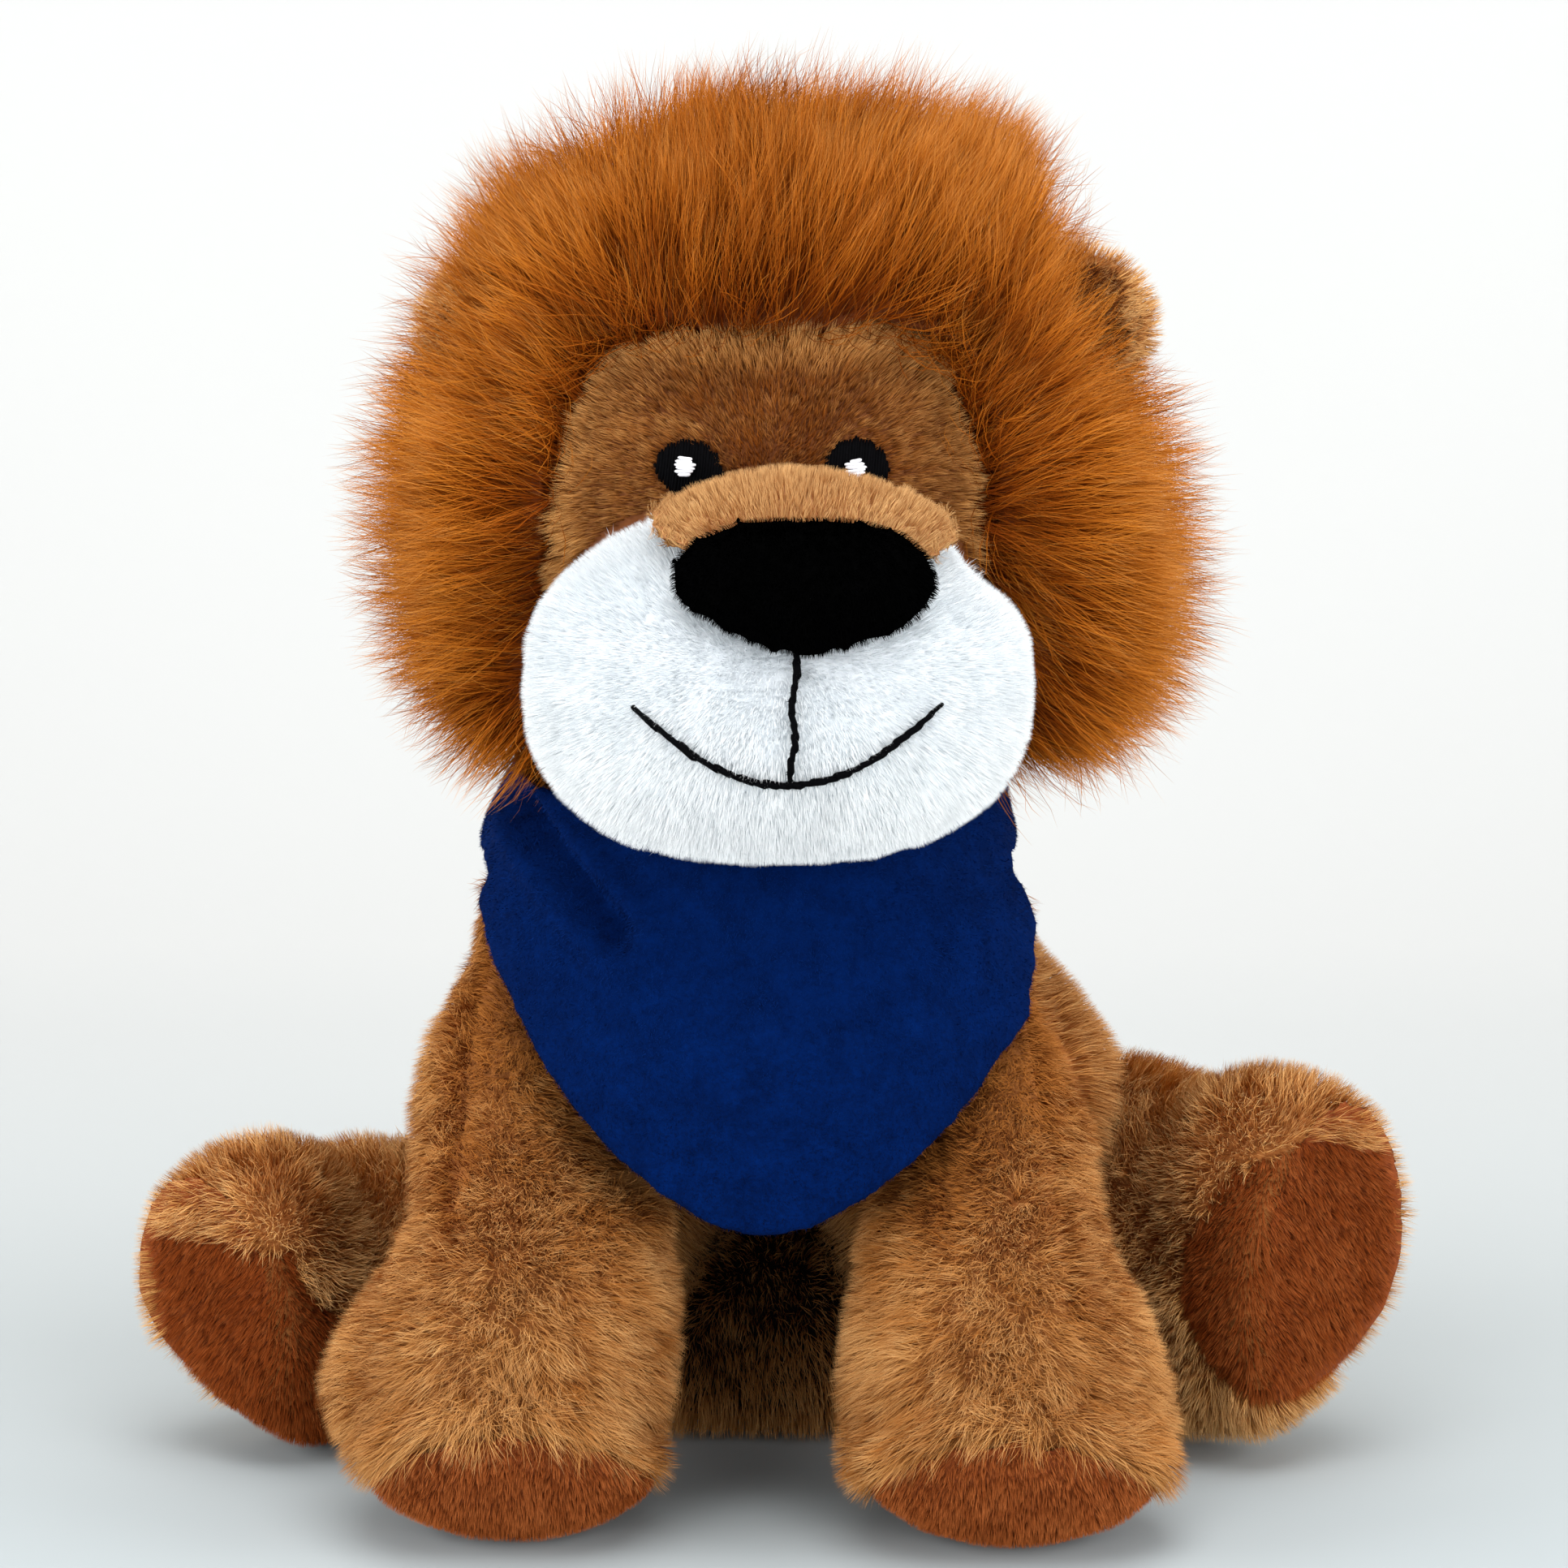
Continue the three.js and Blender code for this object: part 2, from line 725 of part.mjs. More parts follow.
function armForm(side) {
  const top = shoulder(side);
  const paw = pawCentre(side);
  return sack({
    spine: [
      top,
      top.clone().lerp(paw, elbowShare),
      top.clone().lerp(paw, wristShare),
      paw,
      paw.clone().addScaledVector(toeDirection, pawHeight / 2),
    ],
    sections: [
      [armTopWidth, armTopWidth],
      [armWidth, armWidth],
      [armWidth, armWidth],
      [pawWidth, pawHeight],
      [pawWidth, pawHeight],
    ],
    fullness: 2.6,
    rings: 14,
    sides: 16,
  });
}

function padWindow(centre, direction, width, height, depth) {
  const prism = new THREE.CylinderGeometry(1, 1, depth, 16)
    .scale(width / 2, 1, height / 2)
    .translate(0, depth / 2, 0);
  prism.applyQuaternion(new THREE.Quaternion().setFromUnitVectors(yAxis, direction));
  return solid(prism.translate(centre.x, centre.y, centre.z));
}

// The arm swings out sideways about the top of its seam, and the cloth presses it in all the way
const swingShares = [0, 0.25, 0.5, 0.75, 1];
function armUnderFlap(arm, side) {
  const seam = shoulder(side);
  let pressed = arm;
  for (const share of swingShares) {
    const flap = flapRoom.clone()
      .translate(-seam.x, -seam.y, -seam.z)
      .rotateY(sideSigns[side] * share * radians(armSwingDegrees))
      .translate(seam.x, seam.y, seam.z);
    pressed = pressed.subtract(solid(flap));
  }
  return pressed;
}

function armPieces(side) {
  const form = armForm(side);
  const window = padWindow(pawCentre(side), soleDirection, pawPadWidth, pawPadWidth, overrun);
  const arm = solid(form).subtract(solid(grown(torsoForm, gap))).subtract(floor);
  return [
    named(`${side}_arm`, armUnderFlap(arm, side), materials.plush),
    named(`${side}_paw_pad`, panel(form, window, gap, padThickness).subtract(floor), materials.pad),
  ];
}

// Draws the lower half of a foot back towards its ankle, more at the sole than at the ankle
function tucked(form, ankle, foot) {
  const { position } = form.attributes;
  const back = ankle.clone().sub(foot).setZ(0).normalize();
  for (let i = 0; i < position.count; i += 1) {
    const drop = Math.max(0, 1 - position.getZ(i) / foot.z) ** footTuckCurve;
    const reach = smoothstep(Math.abs(position.getX(i)), Math.abs(ankle.x), Math.abs(foot.x));
    position.setX(i, position.getX(i) + back.x * footTuck * drop * reach);
    position.setY(i, position.getY(i) + back.y * footTuck * drop * reach);
  }
  return form;
}

// Hind legs lie on the floor, spread outward, with the foot standing up at the end
const kneeShare = 0.3;
const ankleShare = 0.6;
const heelShare = 0.82;
function legForm(side, sign) {
  const footHeight = footHeights[side];
  const thighHeight = thighHeights[side];
  const lift = -seatFlat;
  const hip = at((sign * hipSpread) / 2, hipSetback, thighHeight / 2 + lift);
  const foot = at(sign * footSpreads[side], -footReaches[side], footHeight / 2 + lift);
  const knee = hip.clone().lerp(foot, kneeShare).setZ(thighHeight / 2 + lift);
  const ankle = hip.clone().lerp(foot, ankleShare).setZ(ankleHeight / 2 + lift);
  const heel = hip.clone().lerp(foot, heelShare).setZ(footHeight / 2 + lift);
  return tucked(sack({
    spine: [hip, knee, ankle, heel, foot],
    sections: [
      [thighWidth, thighHeight],
      [thighWidth, thighHeight],
      [ankleWidth, ankleHeight],
      [footWidth, footHeight],
      [footWidth, footHeight],
    ],
    fullness: 3,
    across: at(1, sign, 0).normalize(),
    rings: 13,
    sides: 16,
  }), ankle, foot);
}

function legPieces(side, sign) {
  const form = legForm(side, sign);
  const footHeight = footHeights[side];
  const start = at((sign * hipSpread) / 2, hipSetback, footHeight / 2);
  const end = at(sign * footSpreads[side], -footReaches[side], footHeight / 2);
  const direction = end.clone().sub(start).normalize();
  const window = padWindow(
    end.clone().addScaledVector(direction, -footWidth / 2),
    direction,
    footPadWidth,
    footHeight - 2 * footPadMargin,
    overrun,
  );
  return [
    named(`${side}_leg`, solid(form).subtract(solid(grown(torsoForm, gap))).subtract(floor), materials.plush),
    named(`${side}_foot_pad`, panel(form, window, gap, padThickness).subtract(floor), materials.pad),
  ];
}

// Hook and loop tabs between the two ends of the band
function closureTabs() {
  const height = bandWidth - 2 * clothThickness;
  return ['loop_tab', 'hook_tab'].map((name, layer) => {
    const radius = bandRadius + clothThickness + gap + layer * (tabThickness + gap);
    const half = tabLength / (2 * radius);
    const outline = new THREE.Shape();
    outline.absarc(0, 0, radius + tabThickness, -half, half, false);
    outline.absarc(0, 0, radius, half, -half, true);
    const form = new THREE.ExtrudeGeometry(outline, { depth: height, bevelEnabled: false, curveSegments: 4 })
      .rotateZ(Math.PI / 2)
      .translate(0, 0, bandTop - clothThickness - height);
    return named(name, solid(form), materials.closure);
  });
}

// Tail: a thin sack from the back seam that curls along the floor to a tuft
function torsoBackAt(height) {
  const target = new THREE.Mesh(torsoForm);
  const ray = new THREE.Raycaster(at(0, 2 * seatDepth, height), at(0, -1, 0));
  return ray.intersectObject(target)[0].point.y;
}
const tailRoot = at(0, torsoBackAt(tailHeight + tailDiameter / 4) + tailDiameter / 2 + gap, tailHeight);
function tailForm() {
  const low = tailDiameter / 2 + 2 * seatFlat;
  return sack({
    spine: [
      at(0, 0, 0),
      at(tailCurl / 8, tailReach / 2, low - tailHeight),
      at(tailCurl / 2, tailReach, low - tailHeight),
      at(tailCurl, tailReach - tailDiameter / 2, low - tailHeight),
    ],
    sections: [
      [tailDiameter, tailDiameter],
      [tailDiameter, tailDiameter],
      [tailDiameter, tailDiameter],
    ],
    fullness: 6,
    across: zAxis,
    rings: 14,
    sides: 10,
  });
}

function tuftForm() {
  const low = tuftDiameter / 2 + 2 * seatFlat - tailHeight;
  const start = tailCurl - tuftGrip;
  return sack({
    spine: [
      at(start, tailReach - tailDiameter / 2, low),
      at(start + tuftLength / 2, tailReach - tailDiameter, low),
      at(start + tuftLength, tailReach - 2 * tailDiameter, low),
    ],
    sections: [
      [tuftDiameter, tuftDiameter],
      [tuftDiameter, tuftDiameter],
      [tuftDiameter / 2, tuftDiameter / 2],
    ],
    fullness: 2,
    across: zAxis,
    rings: 9,
    sides: 12,
  });
}

function tailPieces() {
  const group = new THREE.Group();
  group.position.copy(tailRoot);
  const tail = tailForm();
  const root = solid(ball(at(0, 0, 0), tailDiameter / 2, 10, 8));
  const torsoHere = solid(grown(torsoForm, gap).translate(-tailRoot.x, -tailRoot.y, -tailRoot.z));
  group.add(
    named('tail', solid(tail).add(root).subtract(torsoHere), materials.plush),
    named('tail_tuft', solid(tuftForm()).subtract(solid(grown(tail, gap))), materials.mane),
  );
  return group;
}

const group = new THREE.Group();
group.add(...torsoPieces(), headPieces());
group.add(named('bandana', solid(bandanaForm()), materials.navy), ...closureTabs());
for (const [side, sign] of Object.entries(sideSigns)) {
  group.add(...armPieces(side), ...legPieces(side, sign));
}
group.add(tailPieces());

// The origin is the middle of the footprint, on the floor
group.updateMatrixWorld(true);
const box = new THREE.Box3().setFromObject(group, true);
group.position.set(-(box.min.x + box.max.x) / 2, -(box.min.y + box.max.y) / 2, -box.min.z);
group.updateMatrixWorld(true);

export default group;
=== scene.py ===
"""Sitting plush lion: fur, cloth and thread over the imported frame.

Sizes in this file are in millimetres and become metres where a mesh is made. +Z is up and the face
looks along -Y. Every strand of fur is a thin tapering ribbon; its UV map holds the way from root to
tip in x and its tone in y, and the fur materials read both.
"""

import math

import bmesh
import bpy
import numpy as np
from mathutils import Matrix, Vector
from mathutils.bvhtree import BVHTree


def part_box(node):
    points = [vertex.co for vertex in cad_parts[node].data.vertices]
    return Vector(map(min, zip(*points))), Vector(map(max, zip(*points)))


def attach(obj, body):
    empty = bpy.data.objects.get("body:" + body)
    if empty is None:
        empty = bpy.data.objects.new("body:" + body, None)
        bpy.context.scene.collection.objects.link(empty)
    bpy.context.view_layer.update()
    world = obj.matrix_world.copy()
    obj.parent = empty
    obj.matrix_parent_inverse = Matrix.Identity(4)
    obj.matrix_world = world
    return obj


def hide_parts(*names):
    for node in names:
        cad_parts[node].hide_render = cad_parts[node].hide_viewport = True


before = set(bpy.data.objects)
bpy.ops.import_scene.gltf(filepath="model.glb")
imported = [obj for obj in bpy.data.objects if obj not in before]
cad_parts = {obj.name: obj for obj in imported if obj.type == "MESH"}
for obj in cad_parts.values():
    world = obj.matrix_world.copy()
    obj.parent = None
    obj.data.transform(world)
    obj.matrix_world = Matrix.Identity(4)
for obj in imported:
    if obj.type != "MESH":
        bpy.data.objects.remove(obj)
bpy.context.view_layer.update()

MM = 0.001
RANDOM = np.random.default_rng(20)


# Numbers and vectors
def unit(v):
    return v / np.maximum(np.linalg.norm(v, axis=-1, keepdims=True), 1e-9)


def smooth(x, low, high):
    t = np.clip((x - low) / (high - low), 0, 1)
    return t * t * (3 - 2 * t)


def mix(a, b, share):
    return a + (b - a) * share


_TABLE = np.random.default_rng(7).random(65536)


def noise(points, scale, seed=0):
    """Smooth value noise from 0 to 1, one value for each point."""
    q = points / scale + 31.7 * seed
    cell = np.floor(q).astype(np.int64)
    f = q - cell
    f = f * f * (3 - 2 * f)
    total = np.zeros(len(points))
    for corner in range(8):
        step = np.array([corner & 1, corner >> 1 & 1, corner >> 2 & 1])
        c = cell + step
        key = (c[:, 0] * 73856093 ^ c[:, 1] * 19349663 ^ c[:, 2] * 83492791 ^ seed * 9176) & 65535
        total += _TABLE[key] * np.prod(np.where(step, f, 1 - f), axis=1)
    return total


# Meshes
def arrays(ob):
    """Points in millimetres and triangles of a mesh object."""
    me = ob.data
    co = np.empty(len(me.vertices) * 3, np.float32)
    me.vertices.foreach_get("co", co)
    me.calc_loop_triangles()
    tri = np.empty(len(me.loop_triangles) * 3, np.int32)
    me.loop_triangles.foreach_get("vertices", tri)
    return co.reshape(-1, 3).astype(float) / MM, tri.reshape(-1, 3)


def gathered(names, skins=()):
    """Points and triangles of several CAD nodes and of skins made in this file, all together."""
    points, faces, base = [], [], 0
    for ob in [*(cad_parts[name] for name in names), *skins]:
        p, t = arrays(ob)
        points.append(p)
        faces.append(t + base)
        base += len(p)
    return np.concatenate(points), np.concatenate(faces)


def tree_of(names, skins=()):
    """One search tree over all their triangles."""
    points, faces = gathered(names, skins)
    return BVHTree.FromPolygons(points.tolist(), faces.tolist())


def mesh_object(name, points, faces, material, uv=None, normals=None):
    """faces is a list of index arrays, one for each count of corners. uv and normals are per corner
    and per point."""
    me = bpy.data.meshes.new(name)
    corners = np.concatenate([f.reshape(-1) for f in faces]).astype(np.int32)
    sizes = np.concatenate([np.full(len(f), f.shape[1]) for f in faces]).astype(np.int32)
    starts = np.concatenate([[0], np.cumsum(sizes)[:-1]]).astype(np.int32)
    me.vertices.add(len(points))
    me.vertices.foreach_set("co", (np.asarray(points) * MM).astype(np.float32).reshape(-1))
    me.loops.add(len(corners))
    me.loops.foreach_set("vertex_index", corners)
    me.polygons.add(len(sizes))
    me.polygons.foreach_set("loop_start", starts)
    me.polygons.foreach_set("use_smooth", np.ones(len(sizes), bool))
    if uv is not None:
        layer = me.uv_layers.new(name="OFBake")
        layer.data.foreach_set("uv", uv[corners].astype(np.float32).reshape(-1))
    me.update(calc_edges=True)
    if normals is not None:
        me.normals_split_custom_set_from_vertices(normals.astype(np.float32))
    me.materials.append(material)
    ob = bpy.data.objects.new(name, me)
    bpy.context.scene.collection.objects.link(ob)
    return ob


def baked(ob, modifiers):
    """Applies modifiers, given as (type, {setting: value}), to a mesh object."""
    for kind, settings in modifiers:
        modifier = ob.modifiers.new(kind, kind)
        for key, value in settings.items():
            setattr(modifier, key, value)
    graph = bpy.context.evaluated_depsgraph_get()
    me = bpy.data.meshes.new_from_object(ob.evaluated_get(graph))
    ob.modifiers.clear()
    ob.data = me
    return ob


def rounded(name, nodes, voxel, rounds):
    """A new object from the solids of some CAD nodes, as one closed form with softened edges."""
    points, faces = gathered(nodes)
    return baked(mesh_object(name, points, [faces], materials["skin"]), [
        ("REMESH", {"mode": "VOXEL", "voxel_size": voxel * MM}),
        ("SMOOTH", {"factor": 0.5, "iterations": rounds}),
    ])


def place(ob, points):
    """Moves the points of a mesh object to places in millimetres."""
    ob.data.vertices.foreach_set("co", (points * MM).astype(np.float32).reshape(-1))


def cover(ob, material, smooth_faces=True):
    """Gives a mesh object its one material."""
    if smooth_faces:
        ob.data.polygons.foreach_set("use_smooth", np.ones(len(ob.data.polygons), bool))
    ob.data.materials.clear()
    ob.data.materials.append(materials[material])
    ob.data.update()


# Materials
def shader(name, roughness=0.9, sheen=0.0, specular=0.2):
    material = bpy.data.materials.new(name)
    material.use_nodes = True
    tree = material.node_tree
    principled = tree.nodes["Principled BSDF"]
    principled.inputs["Roughness"].default_value = roughness
    principled.inputs["Sheen Weight"].default_value = sheen
    principled.inputs["Specular IOR Level"].default_value = specular
    return material, tree, principled


def ramp(tree, stops):
    node = tree.nodes.new("ShaderNodeValToRGB")
    elements = node.color_ramp.elements
    while len(elements) < len(stops):
        elements.new(0.5)
    for element, (place, colour) in zip(elements, stops):
        element.position = place
        element.color = (*linear(colour), 1)
    return node


def rgba(sockets, name):
    """The colour socket of that name, among those of a mix node."""
    return next(s for s in sockets if s.name == name and s.type == "RGBA")


def linear(colour):
    return [c / 12.92 if c <= 0.04045 else ((c + 0.055) / 1.055) ** 2.4 for c in (v / 255 for v in colour)]


def fur_material(name, dark, light, roughness=0.85, sheen=0.0, specular=0.05):
    """dark and light are rows of (way along the strand, colour) for the darkest and lightest tone."""
    material, tree, principled = shader(name, roughness, sheen, specular)
    uv = tree.nodes.new("ShaderNodeUVMap")
    uv.uv_map = "OFBake"
    parts = tree.nodes.new("ShaderNodeSeparateXYZ")
    tree.links.new(uv.outputs["UV"], parts.inputs[0])
    blend = tree.nodes.new("ShaderNodeMix")
    blend.data_type = "RGBA"
    for socket, stops in (("A", dark), ("B", light)):
        colours = ramp(tree, stops)
        tree.links.new(parts.outputs["X"], colours.inputs["Fac"])
        tree.links.new(colours.outputs["Color"], rgba(blend.inputs, socket))
    tree.links.new(parts.outputs["Y"], blend.inputs["Factor"])
    tree.links.new(rgba(blend.outputs, "Result"), principled.inputs["Base Color"])
    return material


def cloth_material(name, dark, light, scale, roughness=0.95, bump=0.2, sheen=0.0, specular=0.2, detail=4.0,
                   grit=0.5):
    """A mottled cloth: noise between two colours and a fine bump. More grit has more fine grain."""
    material, tree, principled = shader(name, roughness, sheen, specular)
    place = tree.nodes.new("ShaderNodeTexCoord")
    grain = tree.nodes.new("ShaderNodeTexNoise")
    grain.inputs["Scale"].default_value = scale
    grain.inputs["Detail"].default_value = detail
    grain.inputs["Roughness"].default_value = grit
    tree.links.new(place.outputs["Object"], grain.inputs["Vector"])
    colours = ramp(tree, [(0.3, dark), (0.7, light)])
    tree.links.new(grain.outputs["Fac"], colours.inputs["Fac"])
    tree.links.new(colours.outputs["Color"], principled.inputs["Base Color"])
    relief = tree.nodes.new("ShaderNodeBump")
    relief.inputs["Strength"].default_value = bump
    relief.inputs["Distance"].default_value = 0.0004
    tree.links.new(grain.outputs["Fac"], relief.inputs["Height"])
    tree.links.new(relief.outputs["Normal"], principled.inputs["Normal"])
    return material


materials = {
    "skin": cloth_material("body_backing", (140, 82, 38), (168, 106, 54), 900),
    # The body's backing again, for the torso alone, which gets painted shade in the pit.
    "torso_skin": cloth_material("torso_backing_painted_shade", (140, 82, 38), (168, 106, 54), 900),
    "mane_skin": cloth_material("mane_backing", (88, 40, 12), (112, 54, 18), 900),
    "face_skin": cloth_material("face_backing", (110, 62, 32), (132, 78, 42), 900),
    "white_skin": cloth_material("white_backing", (226, 230, 234), (238, 242, 246), 900),
    "bridge_skin": cloth_material("bridge_backing", (160, 108, 66), (182, 128, 82), 900),
    "black_skin": cloth_material("black_backing", (1, 1, 1), (3, 3, 3), 900, specular=0.0),
    "pad_skin": cloth_material("pad_backing", (112, 52, 20), (138, 68, 30), 900),
    "lining_skin": cloth_material("lining_backing", (78, 36, 12), (100, 50, 20), 900),
    "body_fur": fur_material(
        "body_pile",
        [(0.0, (112, 56, 16)), (0.45, (150, 88, 34)), (1.0, (182, 114, 52))],
        [(0.0, (170, 108, 50)), (0.45, (220, 160, 92)), (1.0, (240, 200, 140))],
    ),
    "mane_fur": fur_material(
        "mane_pile",
        [(0.0, (70, 22, 0)), (0.35, (112, 46, 2)), (0.75, (150, 74, 10)), (1.0, (176, 100, 30))],
        [(0.0, (104, 42, 0)), (0.35, (158, 78, 8)), (0.75, (204, 124, 38)), (1.0, (232, 170, 96))],
        roughness=0.7,
        specular=0.05,
    ),
    "face_fur": fur_material(
        "face_pile",
        [(0.0, (90, 36, 4)), (0.5, (124, 62, 12)), (1.0, (154, 86, 28))],
        [(0.0, (146, 88, 36)), (0.5, (200, 138, 72)), (1.0, (230, 178, 112))],
    ),
    "white_fur": fur_material(
        "white_pile",
        [(0.0, (226, 231, 235)), (1.0, (236, 241, 244))],
        [(0.0, (246, 249, 251)), (1.0, (254, 255, 255))],
    ),
    "bridge_fur": fur_material(
        "bridge_pile",
        [(0.0, (168, 116, 62)), (1.0, (210, 160, 102))],
        [(0.0, (198, 146, 86)), (1.0, (240, 200, 142))],
    ),
    "black_fur": fur_material(
        "nose_pile",
        [(0.0, (1, 1, 1)), (1.0, (2, 2, 2))],
        [(0.0, (2, 2, 2)), (1.0, (5, 5, 6))],
        specular=0.0,
    ),
    "pad_fur": fur_material(
        "pad_pile",
        [(0.0, (96, 36, 8)), (1.0, (142, 66, 22))],
        [(0.0, (146, 72, 28)), (1.0, (206, 122, 66))],
    ),
    "lining_fur": fur_material(
        "lining_pile",
        [(0.0, (66, 26, 4)), (1.0, (106, 52, 16))],
        [(0.0, (98, 46, 14)), (1.0, (146, 84, 36))],
    ),
    "black_thread": cloth_material("black_thread", (0, 0, 1), (2, 2, 4), 2500, 0.8, 0.1, specular=0.05),
    "white_thread": cloth_material("white_thread", (220, 222, 228), (240, 241, 246), 2500, 0.5, 0.1),
    "navy": cloth_material("navy_cloth", (0, 9, 40), (0, 30, 88), 200, 0.95, 0.6, 0.0, 0.03, 8.0, 0.95),
    "navy_fuzz": fur_material("navy_fuzz", [(0.0, (0, 10, 40)), (1.0, (0, 14, 56))],
                              [(0.0, (0, 28, 80)), (1.0, (2, 40, 108))]),
    "tape_fuzz": fur_material("tape_pile", [(0.0, (8, 14, 40)), (1.0, (14, 22, 56))],
                              [(0.0, (14, 22, 56)), (1.0, (26, 38, 84))]),
    "tape": cloth_material("closure_tape", (10, 16, 44), (18, 28, 66), 3000, 0.8, 0.5),
}


def paint_shade(material, centre, inner, outer, colour):
    """Paints shade into a material: darker round a point of its object, where no light gets in."""
    tree = material.node_tree
    target = tree.nodes["Principled BSDF"].inputs["Base Color"]
    place = tree.nodes.new("ShaderNodeTexCoord")
    away = tree.nodes.new("ShaderNodeVectorMath")
    away.operation = "DISTANCE"
    away.inputs[1].default_value = [c * MM for c in centre]
    tree.links.new(place.outputs["Object"], away.inputs[0])
    share = tree.nodes.new("ShaderNodeMapRange")
    share.inputs["From Min"].default_value, share.inputs["From Max"].default_value = inner * MM, outer * MM
    tree.links.new(away.outputs["Value"], share.inputs["Value"])
    blend = tree.nodes.new("ShaderNodeMix")
    blend.data_type = "RGBA"
    rgba(blend.inputs, "A").default_value = (*linear(colour), 1)
    tree.links.new(target.links[0].from_socket, rgba(blend.inputs, "B"))
    tree.links.new(share.outputs["Result"], blend.inputs["Factor"])
    tree.links.new(rgba(blend.outputs, "Result"), target)


# Strands
PIECE_TRIANGLES = 190000
# No strand goes lower than this above the floor.
LOWEST = 0.3


def strands(name, body, fur, root, normal, first, last, length, width, tone, segments,
            bundles, frizz, spin, follow, order):
    """Ribbons that start along first and end along last, drawn together in clumps.

    bundles are (clump numbers, pull). Where there are many ribbons they are made as several objects,
    each of neighbours in the order given.
    """
    count = len(root)
    way = np.linspace(0, 1, segments + 1)
    turned = (way * way / 2)[None, :, None]
    straight = way[None, :, None] - turned
    path = root[:, None] + length[:, None, None] * (first[:, None] * straight + last[:, None] * turned)
    for bundle, pull in bundles:
        members = np.bincount(bundle)
        for level in range(1, segments + 1):
            mean = np.stack([np.bincount(bundle, path[:, level, k]) for k in range(3)], 1)
            mean /= members[:, None]
            share = np.clip(pull * way[level] ** 1.4, 0, 0.95)[:, None]
            path[:, level] += share * (mean[bundle] - path[:, level])
    if frizz:
        wander = RANDOM.normal(size=(count, segments + 1, 3)) * frizz
        path += wander * way[None, :, None]
    path[..., 2] = np.maximum(path[..., 2], LOWEST)
    lead = unit(path[:, -1] - path[:, 0])
    side = unit(np.cross(lead, normal) + 1e-6)
    angle = np.radians(spin) * RANDOM.uniform(-1, 1, (count, 1))
    side = np.cos(angle) * side + np.sin(angle) * np.cross(lead, side)
    facing = np.cross(side, lead)
    outward = (facing * normal).sum(1, keepdims=True)
    side, facing = (np.where(outward < 0, -v, v) for v in (side, facing))
    taper = (1 - way[:-1] ** 1.6)[None, :, None] * 0.85 + 0.15
    half = side[:, None] * (width[:, None, None] / 2) * taper
    left, right = path[:, :-1] - half, path[:, :-1] + half
    step = 2 * segments + 1
    points = np.empty((count, step, 3))
    points[:, 0:-1:2], points[:, 1:-1:2], points[:, -1] = left, right, path[:, -1]
    uv = np.empty((count, step, 2))
    uv[:, 0:-1:2, 0] = uv[:, 1:-1:2, 0] = 0.02 + 0.96 * way[:-1]
    uv[:, -1, 0] = 0.98
    level = 0.03 + 0.94 * np.clip(tone, 0, 1)
    uv[:, 0:-1:2, 1] = level[:, None] - 0.014
    uv[:, 1:-1:2, 1] = level[:, None] + 0.014
    uv[:, -1, 1] = level
    shade = unit(mix(facing, normal, follow * smooth(np.abs(outward), 0.05, 0.5)))
    order = np.argsort(order)
    runs = np.array_split(order, max(1, math.ceil(count * (2 * segments - 1) / PIECE_TRIANGLES)))
    for number, run in enumerate(runs, 1):
        base = (np.arange(len(run)) * step)[:, None]
        quads = [base + np.array([2 * k, 2 * k + 1, 2 * k + 3, 2 * k + 2]) for k in range(segments - 1)]
        quads = np.concatenate(quads) if quads else np.empty((0, 4), int)
        tips = base + np.array([step - 3, step - 2, step - 1])
        label = name if len(runs) == 1 else f"{name}_{number}"
        ob = mesh_object(label, points[run].reshape(-1, 3), [quads, tips], materials[fur],
                         uv[run].reshape(-1, 2), np.repeat(shade[run], step, axis=0))
        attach(ob, body)


def clumps_of(points, size, seed):
    """A clump number for each point: cells of about that size with wavering borders."""
    bend = np.stack([noise(points, size * 1.3, seed + k) for k in range(3)], 1) - 0.5
    cell = np.floor((points + bend * size * 1.5) / size).astype(np.int64)
    key = cell[:, 0] * 1000003 + cell[:, 1] * 10007 + cell[:, 2]
    return np.unique(key, return_inverse=True)[1]


def surface(ob):
    """Triangles of an object with the normals of their corners and their areas."""
    points, tris = arrays(ob)
    cross = np.cross(points[tris[:, 1]] - points[tris[:, 0]], points[tris[:, 2]] - points[tris[:, 0]])
    normals = np.zeros_like(points)
    for k in range(3):
        np.add.at(normals, tris[:, k], cross)
    return points, tris, unit(normals), np.linalg.norm(cross, axis=1) / 2


def scattered(ob, density, blockers=None, room=8.0, allow=None):
    """Random roots on an object's surface: places, normals and the free height above each."""
    points, tris, normals, areas = surface(ob)
    middle = points[tris].mean(1)
    outward = unit(normals[tris].mean(1))
    free = np.full(len(tris), room)
    if blockers is not None:
        for i, (p, n) in enumerate(zip(middle, outward)):
            hit, facing, _, away = blockers.ray_cast(p, n, room)
            if hit is not None:
                free[i] = 0.0 if Vector(n).dot(facing) > 0 else away
    weight = areas * (free > 0.8)
    if allow is not None:
        weight = weight * allow(middle, outward)
    count = int(weight.sum() * density)
    pick = np.searchsorted(np.cumsum(weight), RANDOM.random(count) * weight.sum())
    pick = np.minimum(pick, len(tris) - 1)
    a, b = RANDOM.random((2, count))
    fold = a + b > 1
    a[fold], b[fold] = 1 - a[fold], 1 - b[fold]
    shares = np.stack([1 - a - b, a, b], 1)[:, :, None]
    return (points[tris[pick]] * shares).sum(1), unit((normals[tris[pick]] * shares).sum(1)), free[pick]


def leaning(normal, direction, lean):
    """From the normal towards a direction, by a lean in degrees, and never into the surface."""
    lean = np.radians(np.clip(lean, 0, 88))[:, None]
    way = normal * np.cos(lean) + direction * np.sin(lean)
    dip = (way * normal).sum(1, keepdims=True)
    return unit(way + normal * np.maximum(0.08 - dip, 0))


